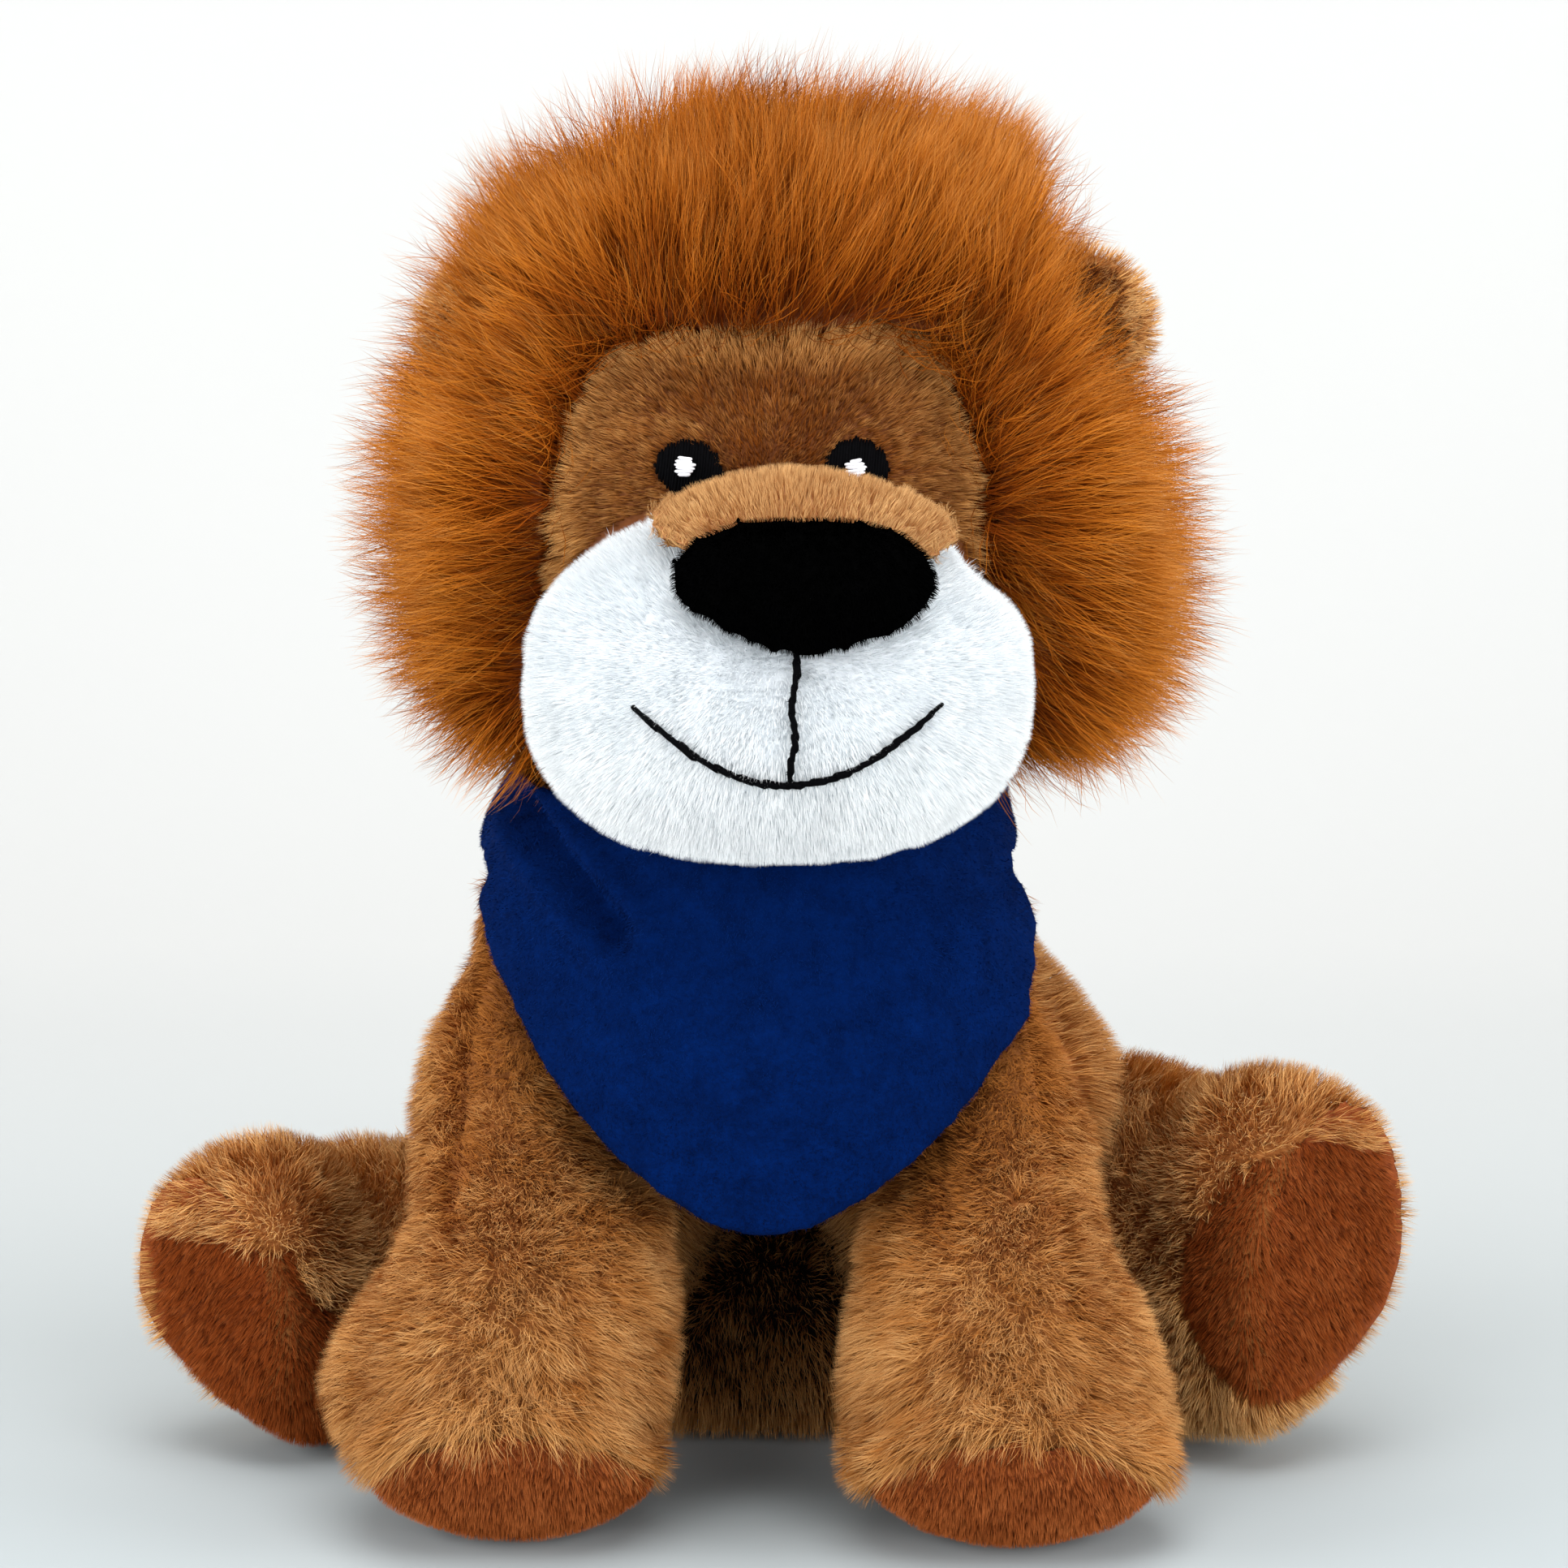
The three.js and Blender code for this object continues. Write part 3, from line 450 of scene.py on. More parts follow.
def even(value):
    """A tone, length or direction that is the same all over."""
    return lambda points, normals: np.zeros((len(points),) + np.shape(value)) + value


def coat(name, body, base, fur, density, length, width, comb, tone, blockers=None, lean=(25, 60),
         locks=((3.0, 0.5),), segments=3, frizz=0.1, room=8.0, allow=None, uneven=0.35, guard=1.0,
         waver=0.3, stray=0.12, follow=0.75, seed=1, spin=70, mottle=0.25, patch=5.0,
         limit=None, order=None, layers=1):
    """Grows one kind of fur on a base object.

    comb, tone and length take roots and normals. lean is how far a strand leans over at its root and
    at its tip, in degrees. locks are (size, pull) of nested clumps, and guard is the share of strands
    that keep their full length. limit takes roots, tips and clump numbers, and order the roots.
    Strands of different layers waver apart, so that their clumps cross.
    """
    root, normal, free = scattered(base, density, blockers, room, allow)
    own_field = root + 57.0 * RANDOM.integers(0, layers, len(root))[:, None]
    sway = np.stack([noise(own_field, patch * 2, seed + k) for k in range(3)], 1) - 0.5
    direction = comb(root, normal) + waver * 2 * sway
    bundles = []
    for level, (size, pull) in enumerate(locks):
        bundle = clumps_of(own_field, size, seed + 20 * level)
        own = np.random.default_rng(seed + level).normal(size=(bundle.max() + 1, 5))[bundle]
        direction = direction + own[:, :3] * waver * 0.35
        bundles.append((bundle, pull * np.clip(1 + 0.35 * own[:, 3], 0.2, 1.5)))
    direction = unit(direction + stray * RANDOM.normal(size=root.shape))
    tilt = RANDOM.normal(size=len(root)) * 4 + (noise(root, patch, seed + 5) - 0.5) * 20
    if callable(lean[0]):
        lean = [way(root, normal) for way in lean]
    first = leaning(normal, direction, lean[0] + tilt)
    last = leaning(normal, direction, lean[1] + tilt)
    under = 1 - uneven * (0.35 + 0.65 * RANDOM.random(len(root)))
    kept = RANDOM.random(len(root)) < guard
    long = length(root, normal) * np.where(kept, 1 - 0.3 * uneven * RANDOM.random(len(root)), under)
    long *= 1 + 0.3 * (noise(root, patch, seed + 9) - 0.5)
    rise = long * np.cos(np.radians((lean[0] + lean[1]) / 2))
    long *= np.clip(free / np.maximum(rise * 1.05, 1e-6), 0.15, 1)
    if limit is not None:
        long *= limit(root, root + long[:, None] * (first + last) / 2, bundle)
    mottled = tone(root, normal) + mottle * (noise(root, patch, seed + 3) - 0.5)
    mottled += mottle * 0.35 * own[:, 4] + 0.08 * RANDOM.normal(size=len(root))
    strands(name, body, fur, root, normal, first, last, long, width * RANDOM.uniform(0.7, 1.15, len(root)),
            mottled, segments, bundles, frizz, spin, follow, root[:, 2] if order is None else order(root))


# Skins
SWELL_FRAMES = 20
# The most that the filling moves a skin outward.
SWELL_CAP = 1.2


def stuffed(ob):
    """Lets a skin swell under an inner pressure, as its filling makes it do."""
    before, _ = arrays(ob)
    cloth = ob.modifiers.new("swell", "CLOTH")
    cloth.settings.use_pressure = True
    cloth.settings.uniform_pressure_force = 4
    cloth.settings.effector_weights.gravity = 0
    scene = bpy.context.scene
    for number in range(1, SWELL_FRAMES + 1):
        scene.frame_set(number)
    graph = bpy.context.evaluated_depsgraph_get()
    me = bpy.data.meshes.new_from_object(ob.evaluated_get(graph))
    ob.modifiers.clear()
    ob.data = me
    scene.frame_set(1)
    after, _ = arrays(ob)
    move = after - before
    far = np.linalg.norm(move, axis=1, keepdims=True)
    place(ob, before + move * np.minimum(1, SWELL_CAP / np.maximum(far, 1e-6)))


def skin(name, nodes, body, material, inset, voxel=2.4, rounds=6, beside=None, reach=(0.8, 5.0), fill=None,
         shape=None, over=()):
    """A soft skin under the fur: the CAD solids as one closed form, rounded and drawn in.

    fill makes it a stuffed skin, swollen by a cloth simulation. inset is a depth or a function of
    points and normals, and fades away beside another form. shape moves the finished points. over are
    further nodes that the skin runs under, which pieces of their own stand for.
    """
    ob = rounded(name, [*nodes, *over], voxel, rounds)
    if fill is not None:
        stuffed(ob)
        baked(ob, [("SUBSURF", {"levels": 1})])
    points, tris, normals, _ = surface(ob)
    depth = inset(points, normals) if callable(inset) else np.full(len(points), float(inset))
    if beside is not None:
        depth *= 0.12 + 0.88 * smooth(distances(beside, points), *reach)
    moved = points - normals * depth[:, None]
    if shape is not None:
        moved = shape(moved)
    place(ob, moved)
    cover(ob, material)
    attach(ob, body)
    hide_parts(*nodes)
    return ob


def fitted(points, outline, middle, fur):
    """Moves one side of a form so that it reaches an outline less its fur.

    outline holds rows of (height, x), all on one side of middle.
    """
    heights, reach = (np.array(column, float) for column in zip(*sorted(outline)))
    sign = np.sign(reach[0] - middle)
    outer = sign * (points[:, 0] - middle)
    levels = np.clip(np.linspace(heights[0], heights[-1], 24), points[:, 2].min() + 1, points[:, 2].max() - 1)
    widest = [outer[np.abs(points[:, 2] - level) < 2.5].max() for level in levels]
    widest = np.interp(points[:, 2], levels, widest)
    wanted = sign * (np.interp(points[:, 2], heights, reach) - middle) - fur
    fade = smooth(points[:, 2], heights[0] - 5, heights[0]) * smooth(heights[-1] + 5 - points[:, 2], 0, 5)
    share = smooth(outer / np.maximum(widest, 1e-6), 0.2, 0.9) * fade
    moved = points.copy()
    moved[:, 0] += sign * np.clip(wanted - widest, -9, 5) * share
    return moved


def distances(tree, points):
    return np.array([tree.find_nearest(p)[3] for p in points])


def others(*own, skins=()):
    return tree_of([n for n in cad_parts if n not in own], skins)


def node_box(name):
    return [np.array(corner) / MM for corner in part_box(name)]


def node_middle(name):
    low, high = node_box(name)
    return (low + high) / 2


# How far the camera looks down.
VIEW_TILT = math.radians(11)
# How deep the body's skin lies under the level of its dense fur.
SKIN_DEPTH = 2.4
DOWN = np.array([0, 0, -1.0])
SIDES = {"left": -1, "right": 1}
PLUSH = dict(lean=(4, 32), locks=((4.5, 0.14), (1.6, 0.16)), segments=2, uneven=0.3, waver=0.5,
             stray=0.45, mottle=0.34, patch=5.0, follow=0.92, layers=2)
SHORT_PLUSH = dict(lean=(8, 36), locks=((1.4, 0.25),), segments=2, frizz=0.05, room=6.0, uneven=0.25,
                   waver=0.4, stray=0.35, patch=3.0, follow=0.9)
KNIT = dict(lean=(10, 45), locks=((1.5, 0.2),), segments=2, frizz=0.03, room=4.0, patch=3.0, follow=0.9,
            mottle=0.3)


# Torso
TORSO = ["torso_cover", "torso_filling", "pellet_bag"]
PIT_DEPTH = 32.0
# The painted shade in the pit: its middle, how far out it is darkest and where it ends, and its colour.
PIT_PAINTED_SHADE = ((0, -6, 22), 33, 43, (16, 7, 2))


def pit(points):
    """1 in the deep pit between the front legs, under the bandana."""
    aside = smooth(28 - np.abs(points[:, 0]), 0, 10)
    return smooth(-points[:, 1], 2, 18) * smooth(54 - points[:, 2], 0, 10) * aside


# Heights and places of the torso's sides, fur included, as the photograph shows them.
TORSO_SIDES = (
    ((34, -43), (48, -42.5), (60, -42), (70, -40.5), (75, -39.5), (80, -38), (84, -36), (92, -32)),
    ((40, 51), (48, 50.5), (54, 47.5), (60, 43), (66, 38), (72, 35), (80, 32.5), (84, 30), (92, 28)),
)


def torso_shape(points):
    for outline in TORSO_SIDES:
        points = fitted(points, outline, 0, 4.0)
    return points


torso = skin("torso_skin", TORSO, "torso", "torso_skin", lambda p, n: SKIN_DEPTH + PIT_DEPTH * pit(p),
             voxel=4.0, rounds=4, fill=0.8, shape=torso_shape)
# Painted shade in the pit: the skin is darkened there, and the short, sparse fur there is toned darker.
paint_shade(materials["torso_skin"], *PIT_PAINTED_SHADE)
coat("torso_fur", "torso", torso, "body_fur", 7.0, lambda p, n: 5.0 - 4.0 * pit(p), 0.13, even(DOWN),
     lambda p, n: 0.5 - 0.9 * pit(p), others(*TORSO), allow=lambda p, n: 1 - 0.98 * pit(p), seed=11,
     **PLUSH)


# Front legs
ARM_SEAMS = {"left": -38.5, "right": 22.5}
# Painted light and shade towards the shoulder: the left front leg's fur gets lighter there and the right
# one's darker, as if lit from the left.
SHOULDER_PAINTED_LIGHT = {"left": 0.08, "right": -0.4}
# Heights and places of the outer and the inner side of each front leg, fur included, as the photograph
# shows them.
ARM_OUTLINES = {
    "left": (
        ((11.5, -56), (15.5, -59), (20, -59.2), (24.5, -57.8), (32, -53), (40, -49.5), (48, -48.8),
         (56, -48.2), (65, -45.5), (70, -43.3), (75, -42.5), (80, -40.5), (85, -37)),
        ((14, -13), (19, -11.4), (28, -10.8), (41, -10.6)),
    ),
    "right": (
        ((6.5, 50.6), (10.5, 54.6), (15, 54.6), (24.5, 51.6), (31, 49.4), (35, 47.4), (39.5, 46), (46, 44.8),
         (52, 42.8), (58.5, 40), (64, 37), (68, 34.5), (77, 31.5), (85, 28)),
        ((9, 8.5), (14, 7.6), (19.5, 8.2), (28, 9), (42, 10)),
    ),
}


def arm_coat(side):
    scarf = tree_of(["bandana"])
    arm, pad = f"{side}_arm", f"{side}_paw_pad"
    sole = tree_of([pad])

    def shape(points):
        for outline in ARM_OUTLINES[side]:
            points = fitted(points, outline, node_middle(pad)[0], 3.6)
        return points

    base = skin(f"{arm}_skin", [arm], arm, "skin", SKIN_DEPTH, voxel=4.0, rounds=4, beside=sole, fill=0.8,
                shape=shape)
    low, high = node_box(arm)
    middle = node_middle(pad)
    crown = np.array([middle[0], low[1] + 20, 42.0])

    def on_paw(points):
        return smooth(crown[1] + 8 - points[:, 1], 0, 14) * smooth(52 - points[:, 2], 0, 12)

    def seam(points, normals, width):
        """1 along the seam down the front of the leg, above the paw."""
        off = (points[:, 0] - ARM_SEAMS[side] + SIDES[side] * 0.12 * (points[:, 2] - 58)) / width
        along = smooth(points[:, 2], 38, 46) * smooth(74 - points[:, 2], 0, 8)
        return np.exp(-off ** 2) * along * (normals[:, 1] < -0.1)

    def fringe(points):
        """1 above the sole, where long fur hangs over its edge."""
        near = 1 - smooth(distances(sole, points), 1.0, 5.5)
        inward = 1 - smooth(np.abs(points[:, 0] - middle[0]), 12, 18)
        return near * inward * smooth(points[:, 2] - middle[2], 0, 5)

    def comb(points, normals):
        spread = unit((points - crown) * [0.8, 0.3, 0.6] + [0, -6, -16])
        way = mix(np.array([0, -0.3, -1.0]), spread, on_paw(points)[:, None])
        into = np.sign(ARM_SEAMS[side] - points[:, 0]) * seam(points, normals, 3.0)
        return unit(way + into[:, None] * [1.2, 0, 0])

    def length(points, normals):
        long = 4.6 + 1.0 * on_paw(points) * smooth(46 - points[:, 2], 0, 14) + 3.6 * fringe(points)
        return long * (1 - 0.6 * seam(points, normals, 1.1))

    def tone(points, normals):
        high = smooth(points[:, 2], 40, 66)
        light = 0.34 - 0.02 * on_paw(points) + 0.12 * fringe(points) + SHOULDER_PAINTED_LIGHT[side] * high
        # Painted shadow: the fur is darker near the bandana, where its shadow falls.
        light -= 0.45 * (1 - smooth(distances(scarf, points), 2, 16))
        light -= 0.1 * smooth(24 - points[:, 2], 0, 12)
        return light - 0.4 * seam(points, normals, 1.3) - 0.2 * seam(points, normals, 5.0)

    coat(f"{arm}_fur", arm, base, "body_fur", 13.0, length, 0.11, comb, tone,
         others(arm, *TORSO, skins=[torso]), seed=20 + SIDES[side],
         **dict(PLUSH, lean=(14, 52), waver=0.8, mottle=0.4))
    pad_base = skin(f"{pad}_skin", [pad], arm, "pad_skin", 0.3, voxel=0.7, rounds=2)
    coat(f"{pad}_fur", arm, pad_base, "pad_fur", 16.0, even(1.7), 0.12, even(unit(np.array([0, -0.3, -1.0]))),
         even(0.5), others(pad), seed=31, **KNIT)


# Hind legs
# The soles of the hind feet as the camera sees them: places rightwards and up in its view.
SOLES = {
    "left": ((-83, 29.5), (-71.5, 28), (-64.5, 26.5), (-62.5, 21), (-58, 17), (-54, 9), (-56, -1), (-66, -1),
             (-75, 6), (-80.5, 14), (-82, 19)),
    "right": ((56, 28), (60, 36.5), (70.5, 42), (82.5, 40), (84.5, 31), (81.5, 20), (77, 12.5), (71, 8),
              (65, 7), (59, 12.5), (56, 20)),
}
# How a sole is pressed flat: which way it faces and how far out from the middle of the toy.
SOLE_FLATS = {"left": ((-0.57, -0.82, -0.06), 52.5), "right": ((0.57, -0.82, -0.06), 54.0)}
SOLE_TONES = {"left": 0.0, "right": 0.12}
# Where the top of a hind leg is drawn in or filled out: x, amount and width.
LEG_DIPS = {"left": ((-64, -1.8, 7), (-50, 3.0, 7)), "right": ((60, -3.6, 9),)}


def view_height(points):
    """How far up places are in the camera's view."""
    return points[:, 2] * math.cos(VIEW_TILT) + points[:, 1] * math.sin(VIEW_TILT)


def inside(across, up, outline):
    """Whether places in the view are inside an outline."""
    result = np.zeros(len(across), bool)
    for (x0, z0), (x1, z1) in zip(outline, outline[1:] + outline[:1]):
        crossing = (z0 > up) != (z1 > up)
        edge = x0 + (up - z0) / (z1 - z0 + 1e-9) * (x1 - x0)
        result ^= crossing & (across < edge)
    return result


def leg_coat(side):
    leg, pad = f"{side}_leg", f"{side}_foot_pad"
    sign = SIDES[side]
    flat, out = np.array(SOLE_FLATS[side][0]), SOLE_FLATS[side][1]

    def pressed(level):
        def shape(points):
            over = np.maximum(points @ flat - level, 0)
            return points - flat * (over ** 2 / (over + 2.0))[:, None]
        return shape

    def on_sole(points, normals):
        up = view_height(points)
        wander = 1.2 * (noise(points, 3.0, 7) - 0.5)
        return (inside(points[:, 0] + wander, up + wander, SOLES[side]) & (normals[:, 1] < 0.1)).astype(float)

    def off_sole(points, normals):
        return 1 - on_sole(points, normals)

    def depth(points, normals):
        dip = sum(by * np.exp(-((points[:, 0] - x) / wide) ** 2) for x, by, wide in LEG_DIPS[side])
        sole = on_sole(points, normals)
        return mix(2.0 + dip * smooth(normals[:, 2], -0.1, 0.5), 0.8, sole)

    def comb(points, normals):
        return unit(np.array([0.6 * sign, -0.7, -0.25])) + 0 * points

    # Painted light: the hind legs' fur is toned lighter than the front legs', more so towards the front and
    # on the inner side beside the front paw, where the front leg's shadow falls.
    def tone(points, normals):
        lit_beside_paw = 1 - smooth(np.abs(points[:, 0]), 56, 66)
        return 0.8 + 0.1 * smooth(-points[:, 1], 0, 25) + 0.3 * lit_beside_paw

    def pad_tone(points, normals):
        """Rows of the knitted backing that show through the short pile."""
        return SOLE_TONES[side] + 0.16 * np.sin(points[:, 2] * math.tau / 1.05 + 2 * noise(points, 6.0, 2))

    base = skin(f"{leg}_skin", [leg], leg, "skin", depth, voxel=3.2, rounds=4, fill=0.8,
                shape=pressed(out), over=[pad])
    skin(f"{pad}_skin", [pad], leg, "pad_skin", 0.5, voxel=0.7, rounds=2, shape=pressed(out))
    free = others(leg, pad)
    coat(f"{leg}_fur", leg, base, "body_fur", 11.0, even(4.6), 0.12, comb, tone, free, allow=off_sole,
         seed=40 + sign, **dict(PLUSH, lean=(8, 42), waver=0.8, mottle=0.4))
    coat(f"{pad}_pile", leg, base, "pad_fur", 18.0, even(2.4), 0.12, even(DOWN), pad_tone, free,
         allow=on_sole, seed=51, **KNIT)


for side in SIDES:
    arm_coat(side)
    leg_coat(side)

# Head
head_middle = node_middle("head_cover")
TURN = math.radians(3)
face_right = np.array([math.cos(TURN), math.sin(TURN), 0])
face_front = np.array([math.sin(TURN), -math.cos(TURN), 0])
UP = np.array([0, 0, 1.0])


def facing(points):
    """Points as seen from the front of the head: rightwards, forwards and up from its middle."""
    rel = points - head_middle
    return rel @ face_right, rel @ face_front, rel[:, 2]


skin("head_skin", ["head_cover", "head_filling"], "head", "face_skin", 1.0, voxel=4.0, fill=0.9)

# The mane's outline as the front sees it. Turns are from the top of the head, in degrees, and reaches
# are from its middle: how far the dense hair goes, and how far the last wisps.
MANE_OUTLINE = (
    (-180, 38, 44), (-150, 42, 46), (-140, 47, 51), (-134, 55, 62), (-126, 55, 63),
    (-117, 52, 60), (-99, 50.5, 61), (-85, 50, 60), (-75, 49, 60), (-66, 48, 55),
    (-55, 51, 57), (-45, 55, 61), (-36, 54, 61), (-24, 51.5, 58), (-16, 51, 58),
    (-5, 54, 61), (4, 53.5, 60), (11, 51.5, 58), (19, 54.5, 62), (28, 60, 67),
    (37, 61.5, 67), (44, 57.5, 63), (52, 50, 59), (66, 47, 56), (74, 51, 58),
    (86, 53.5, 62), (99, 57.5, 65), (117, 60, 67), (128, 58, 66), (136, 52, 60),
    (150, 42, 46), (180, 38, 44),
)
MANE_TURNS, MANE_DENSE, MANE_WISPS = zip(*MANE_OUTLINE)


def mane_turn(points):
    x, y, z = facing(points)
    return np.degrees(np.arctan2(x, z))


def mane_limit(roots, tips, clumps):
    """The share of its length that a hair keeps: few hairs reach past the dense outline, in locks."""
    start, end = (np.hypot(facing(p)[0], facing(p)[2]) for p in (roots, tips))
    turn = mane_turn(tips)
    own = RANDOM.exponential(size=len(roots))
    shared = np.random.default_rng(5).exponential(size=clumps.max() + 1)[clumps]
    edge = np.interp(turn, MANE_TURNS, MANE_DENSE) - 3.8 + 3.0 * own + 7.0 * np.maximum(shared - 1, 0)
    edge = np.minimum(edge, np.interp(turn, MANE_TURNS, MANE_WISPS) + 4 + 3 * own)
    return np.where(end > edge, np.clip((edge - start) / np.maximum(end - start, 1e-3), 0.25, 1), 1.0)


def mane_fit(points):
    """The backing pulled in, so that it lies well inside the outline of the dense hair."""
    x, y, z = facing(points)
    radius = np.hypot(x, z)
    most = np.interp(mane_turn(points), MANE_TURNS, MANE_DENSE) - 8.5
    keep = np.where(radius > most, (most + 0.2 * (radius - most)) / np.maximum(radius, 1e-6), 1.0)
    return head_middle + np.stack([x * keep, y, z * keep], 1) @ np.stack([face_right, face_front, UP])


def mane_comb(points, normals):
    """Out from the face, more upright over the brow, and down the back of the head."""
    x, y, z = facing(points)
    round_face = np.arctan2(x, z + 4)
    upright = 0.62 + 0.38 * smooth(np.abs(round_face), 0.5, 1.3)
    fan = round_face * upright + 0.75 * (noise(points, 20.0, 5) - 0.5)
    spread = np.sin(fan)[:, None] * face_right + np.cos(fan)[:, None] * UP
    behind = smooth(-y, 4, 30)[:, None]
    return unit(mix(spread, spread * [1, 1, 0.2] + [0, 0.2, -0.9], behind))


def mane_tone(points, normals):
    x, y, z = facing(points)
    aside = np.abs(np.sin(np.radians(mane_turn(points))))
    # Painted light on the left side of the mane, below the brow.
    painted_light_left = 0.14 * smooth(-x, 10, 40) * smooth(24 - z, 0, 20)
    return 0.24 + 0.28 * aside + 0.24 * smooth(np.hypot(x, z + 2), 32, 54) + painted_light_left


def mane_length(points, normals):
    wisps = 1 + 0.45 * (RANDOM.random(len(points)) < 0.18)
    return mix(38.0, 34.0, smooth(-facing(points)[1], -24, 4)) * wisps


mane_skin = skin("mane_skin", ["mane"], "head", "mane_skin",
                 lambda p, n: mix(7.0, 4.0, smooth(-facing(p)[1], 5, 25)), voxel=2.4, shape=mane_fit,
                 beside=tree_of(["face_panel", "muzzle", "head_cover"]), reach=(0.5, 16.0), fill=0.8)
MANE_HAIR = dict(lean=(28, 68), locks=((9.0, 0.12), (3.2, 0.34), (1.4, 0.2)), segments=4, frizz=0.3,
                 room=14.0, uneven=0.5, guard=0.4, waver=0.6, stray=0.2, follow=0.45, spin=80, mottle=0.5,
                 patch=5.0, limit=mane_limit, order=mane_turn, layers=3)
coat("mane_fur", "head", mane_skin, "mane_fur", 5.6, mane_length, 0.125, mane_comb, mane_tone,
     others("mane", "left_ear", "right_ear", "left_ear_lining", "right_ear_lining"), seed=60, **MANE_HAIR)


# Eyes of satin stitch
def tubes(name, paths, radii, material, sides=6):
    """Round threads along lists of points, closed at both ends."""
    points, quads, base = [], [], 0
    around = np.arange(sides) * math.tau / sides
    for path, radius in zip(paths, radii):
        path = np.asarray(path)
        radius = np.broadcast_to(radius, len(path))
        lead = unit(np.gradient(path, axis=0))
        side = unit(np.cross(lead, face_front) + 1e-6)
        top = np.cross(side, lead)
        ring = path[:, None] + radius[:, None, None] * (
            np.cos(around)[None, :, None] * side[:, None] + np.sin(around)[None, :, None] * top[:, None])
        ring = np.concatenate([ring[:1] * 0 + path[0], ring, ring[:1] * 0 + path[-1]])
        points.append(ring.reshape(-1, 3))
        rows = len(path) + 2
        grid = base + np.arange(rows * sides).reshape(rows, sides)
        turned = np.roll(grid, -1, axis=1)
        quads.append(np.stack([grid[:-1], turned[:-1], turned[1:], grid[1:]], -1).reshape(-1, 4))
        base += rows * sides
    ob = mesh_object(name, np.concatenate(points), [np.concatenate(quads)], material)
    weld(ob)
    return ob


WELD_DISTANCE = 0.0005


def weld(ob):
    """Merges the points of a mesh that lie together and drops the faces that collapse."""
    me = bmesh.new()
    me.from_mesh(ob.data)
    bmesh.ops.remove_doubles(me, verts=me.verts, dist=WELD_DISTANCE * MM)
    bmesh.ops.recalc_face_normals(me, faces=me.faces)
    me.to_mesh(ob.data)
    me.free()
    ob.data.polygons.foreach_set("use_smooth", np.ones(len(ob.data.polygons), bool))


def front_of(tree, right, high):
    """The point of a surface seen from the front of the head at a place to the right and up."""
    far = 120.0
    start = head_middle + face_right * right + UP * high + face_front * far
    hit = tree.ray_cast(start, -face_front, 2 * far)[0]
    return None if hit is None else np.array(hit)


def satin(name, node, turn, pitch, radius, ragged, material, trim=0.3, shift=(0.0, 0.0), sink=0.5):
    """Rows of thread over a flat patch, turned from level by an angle, each a little long or short.

    trim is how far the rows end inside the patch, and shift moves them rightwards and up.
    """
    tree = tree_of([node])
    middle = node_middle(node) - head_middle
    centre = np.array([middle @ face_right, middle[2]])
    along = np.array([math.cos(turn), math.sin(turn)])
    across = np.array([-along[1], along[0]])
    paths, radii = [], []
    for row in np.arange(-9, 9, pitch):
        tried = np.arange(-9, 9, 0.12)
        held = [u for u in tried if front_of(tree, *(centre + along * u + across * row)) is not None]
        if len(held) < 4:
            continue
        low = held[0] + trim - ragged * RANDOM.random()
        high = held[-1] - trim + ragged * RANDOM.random()
        tilt = RANDOM.normal() * pitch * 0.25
        path = []
        for share in np.linspace(0, 1, 9):
            u = mix(low, high, share)
            v = row + tilt * (share - 0.5)
            nearest = np.clip(u, held[0], held[-1])
            hit = None
            while hit is None and abs(nearest) < 12:
                hit = front_of(tree, *(centre + along * nearest + across * row))
                nearest *= 0.97
            right, high_up = centre + along * u + across * v + shift
            depth = (hit - head_middle) @ face_front
            dip = sink * (1 - np.sin(math.pi * np.clip(share, 0.04, 0.96)) ** 0.35)
            spot = head_middle + face_right * right + UP * high_up
            path.append(spot + face_front * (depth + radius * 0.35 - dip))
        swell = np.clip(np.sin(np.linspace(0.1, math.pi - 0.1, 9)) * 2.5, 0.5, 1)
        paths.append(path)
        radii.append(radius * RANDOM.uniform(0.9, 1.1) * swell)
    ob = tubes(name, paths, radii, materials[material])
    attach(ob, "head")
    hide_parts(node)
    return ob


# How far the embroidery of each eye sits from the middle of its patch, rightwards and up.
EYE_SHIFTS = {"left": ((0.0, 0.0), (-0.6, 0.6)), "right": ((-1.0, 0.0), (-1.2, 0.1))}
eyes = []
for side in SIDES:
    eye_shift, glint_shift = EYE_SHIFTS[side]
    eyes.append(satin(f"{side}_eye_thread", f"{side}_eye", 1.45, 0.36, 0.26, 0.35, "black_thread", 0.75,
                      eye_shift))
    satin(f"{side}_glint_thread", f"{side}_eye_glint", 0.03, 0.40, 0.24, 0.5, "white_thread", 0.3,
          glint_shift)


# Face panel
# The outline of its short plush as the camera sees it: places rightwards and up in its view. The rest
# of the panel lies under the mane's first hairs.
FACE_OUTLINE = ((-29.5, 90), (-29.5, 117), (-28.8, 123), (-27.4, 129.5), (-26, 137), (-23.7, 142),
                (-20, 145.5), (-11, 147.8), (-1.7, 147.4), (6.6, 149), (15.7, 149.6), (21.3, 147),
                (24, 142), (25.8, 136), (27.6, 129.5), (27.2, 124), (28.1, 117), (28.1, 90))
face_skin = skin("face_panel_skin", ["face_panel"], "head", "face_skin", 0.2, voxel=0.8, rounds=2)
hair_edge = tree_of(["mane"])


def face_edge(points):
    """1 along the seam with the mane."""
    return 1 - smooth(distances(hair_edge, points), 2.5, 6.0)


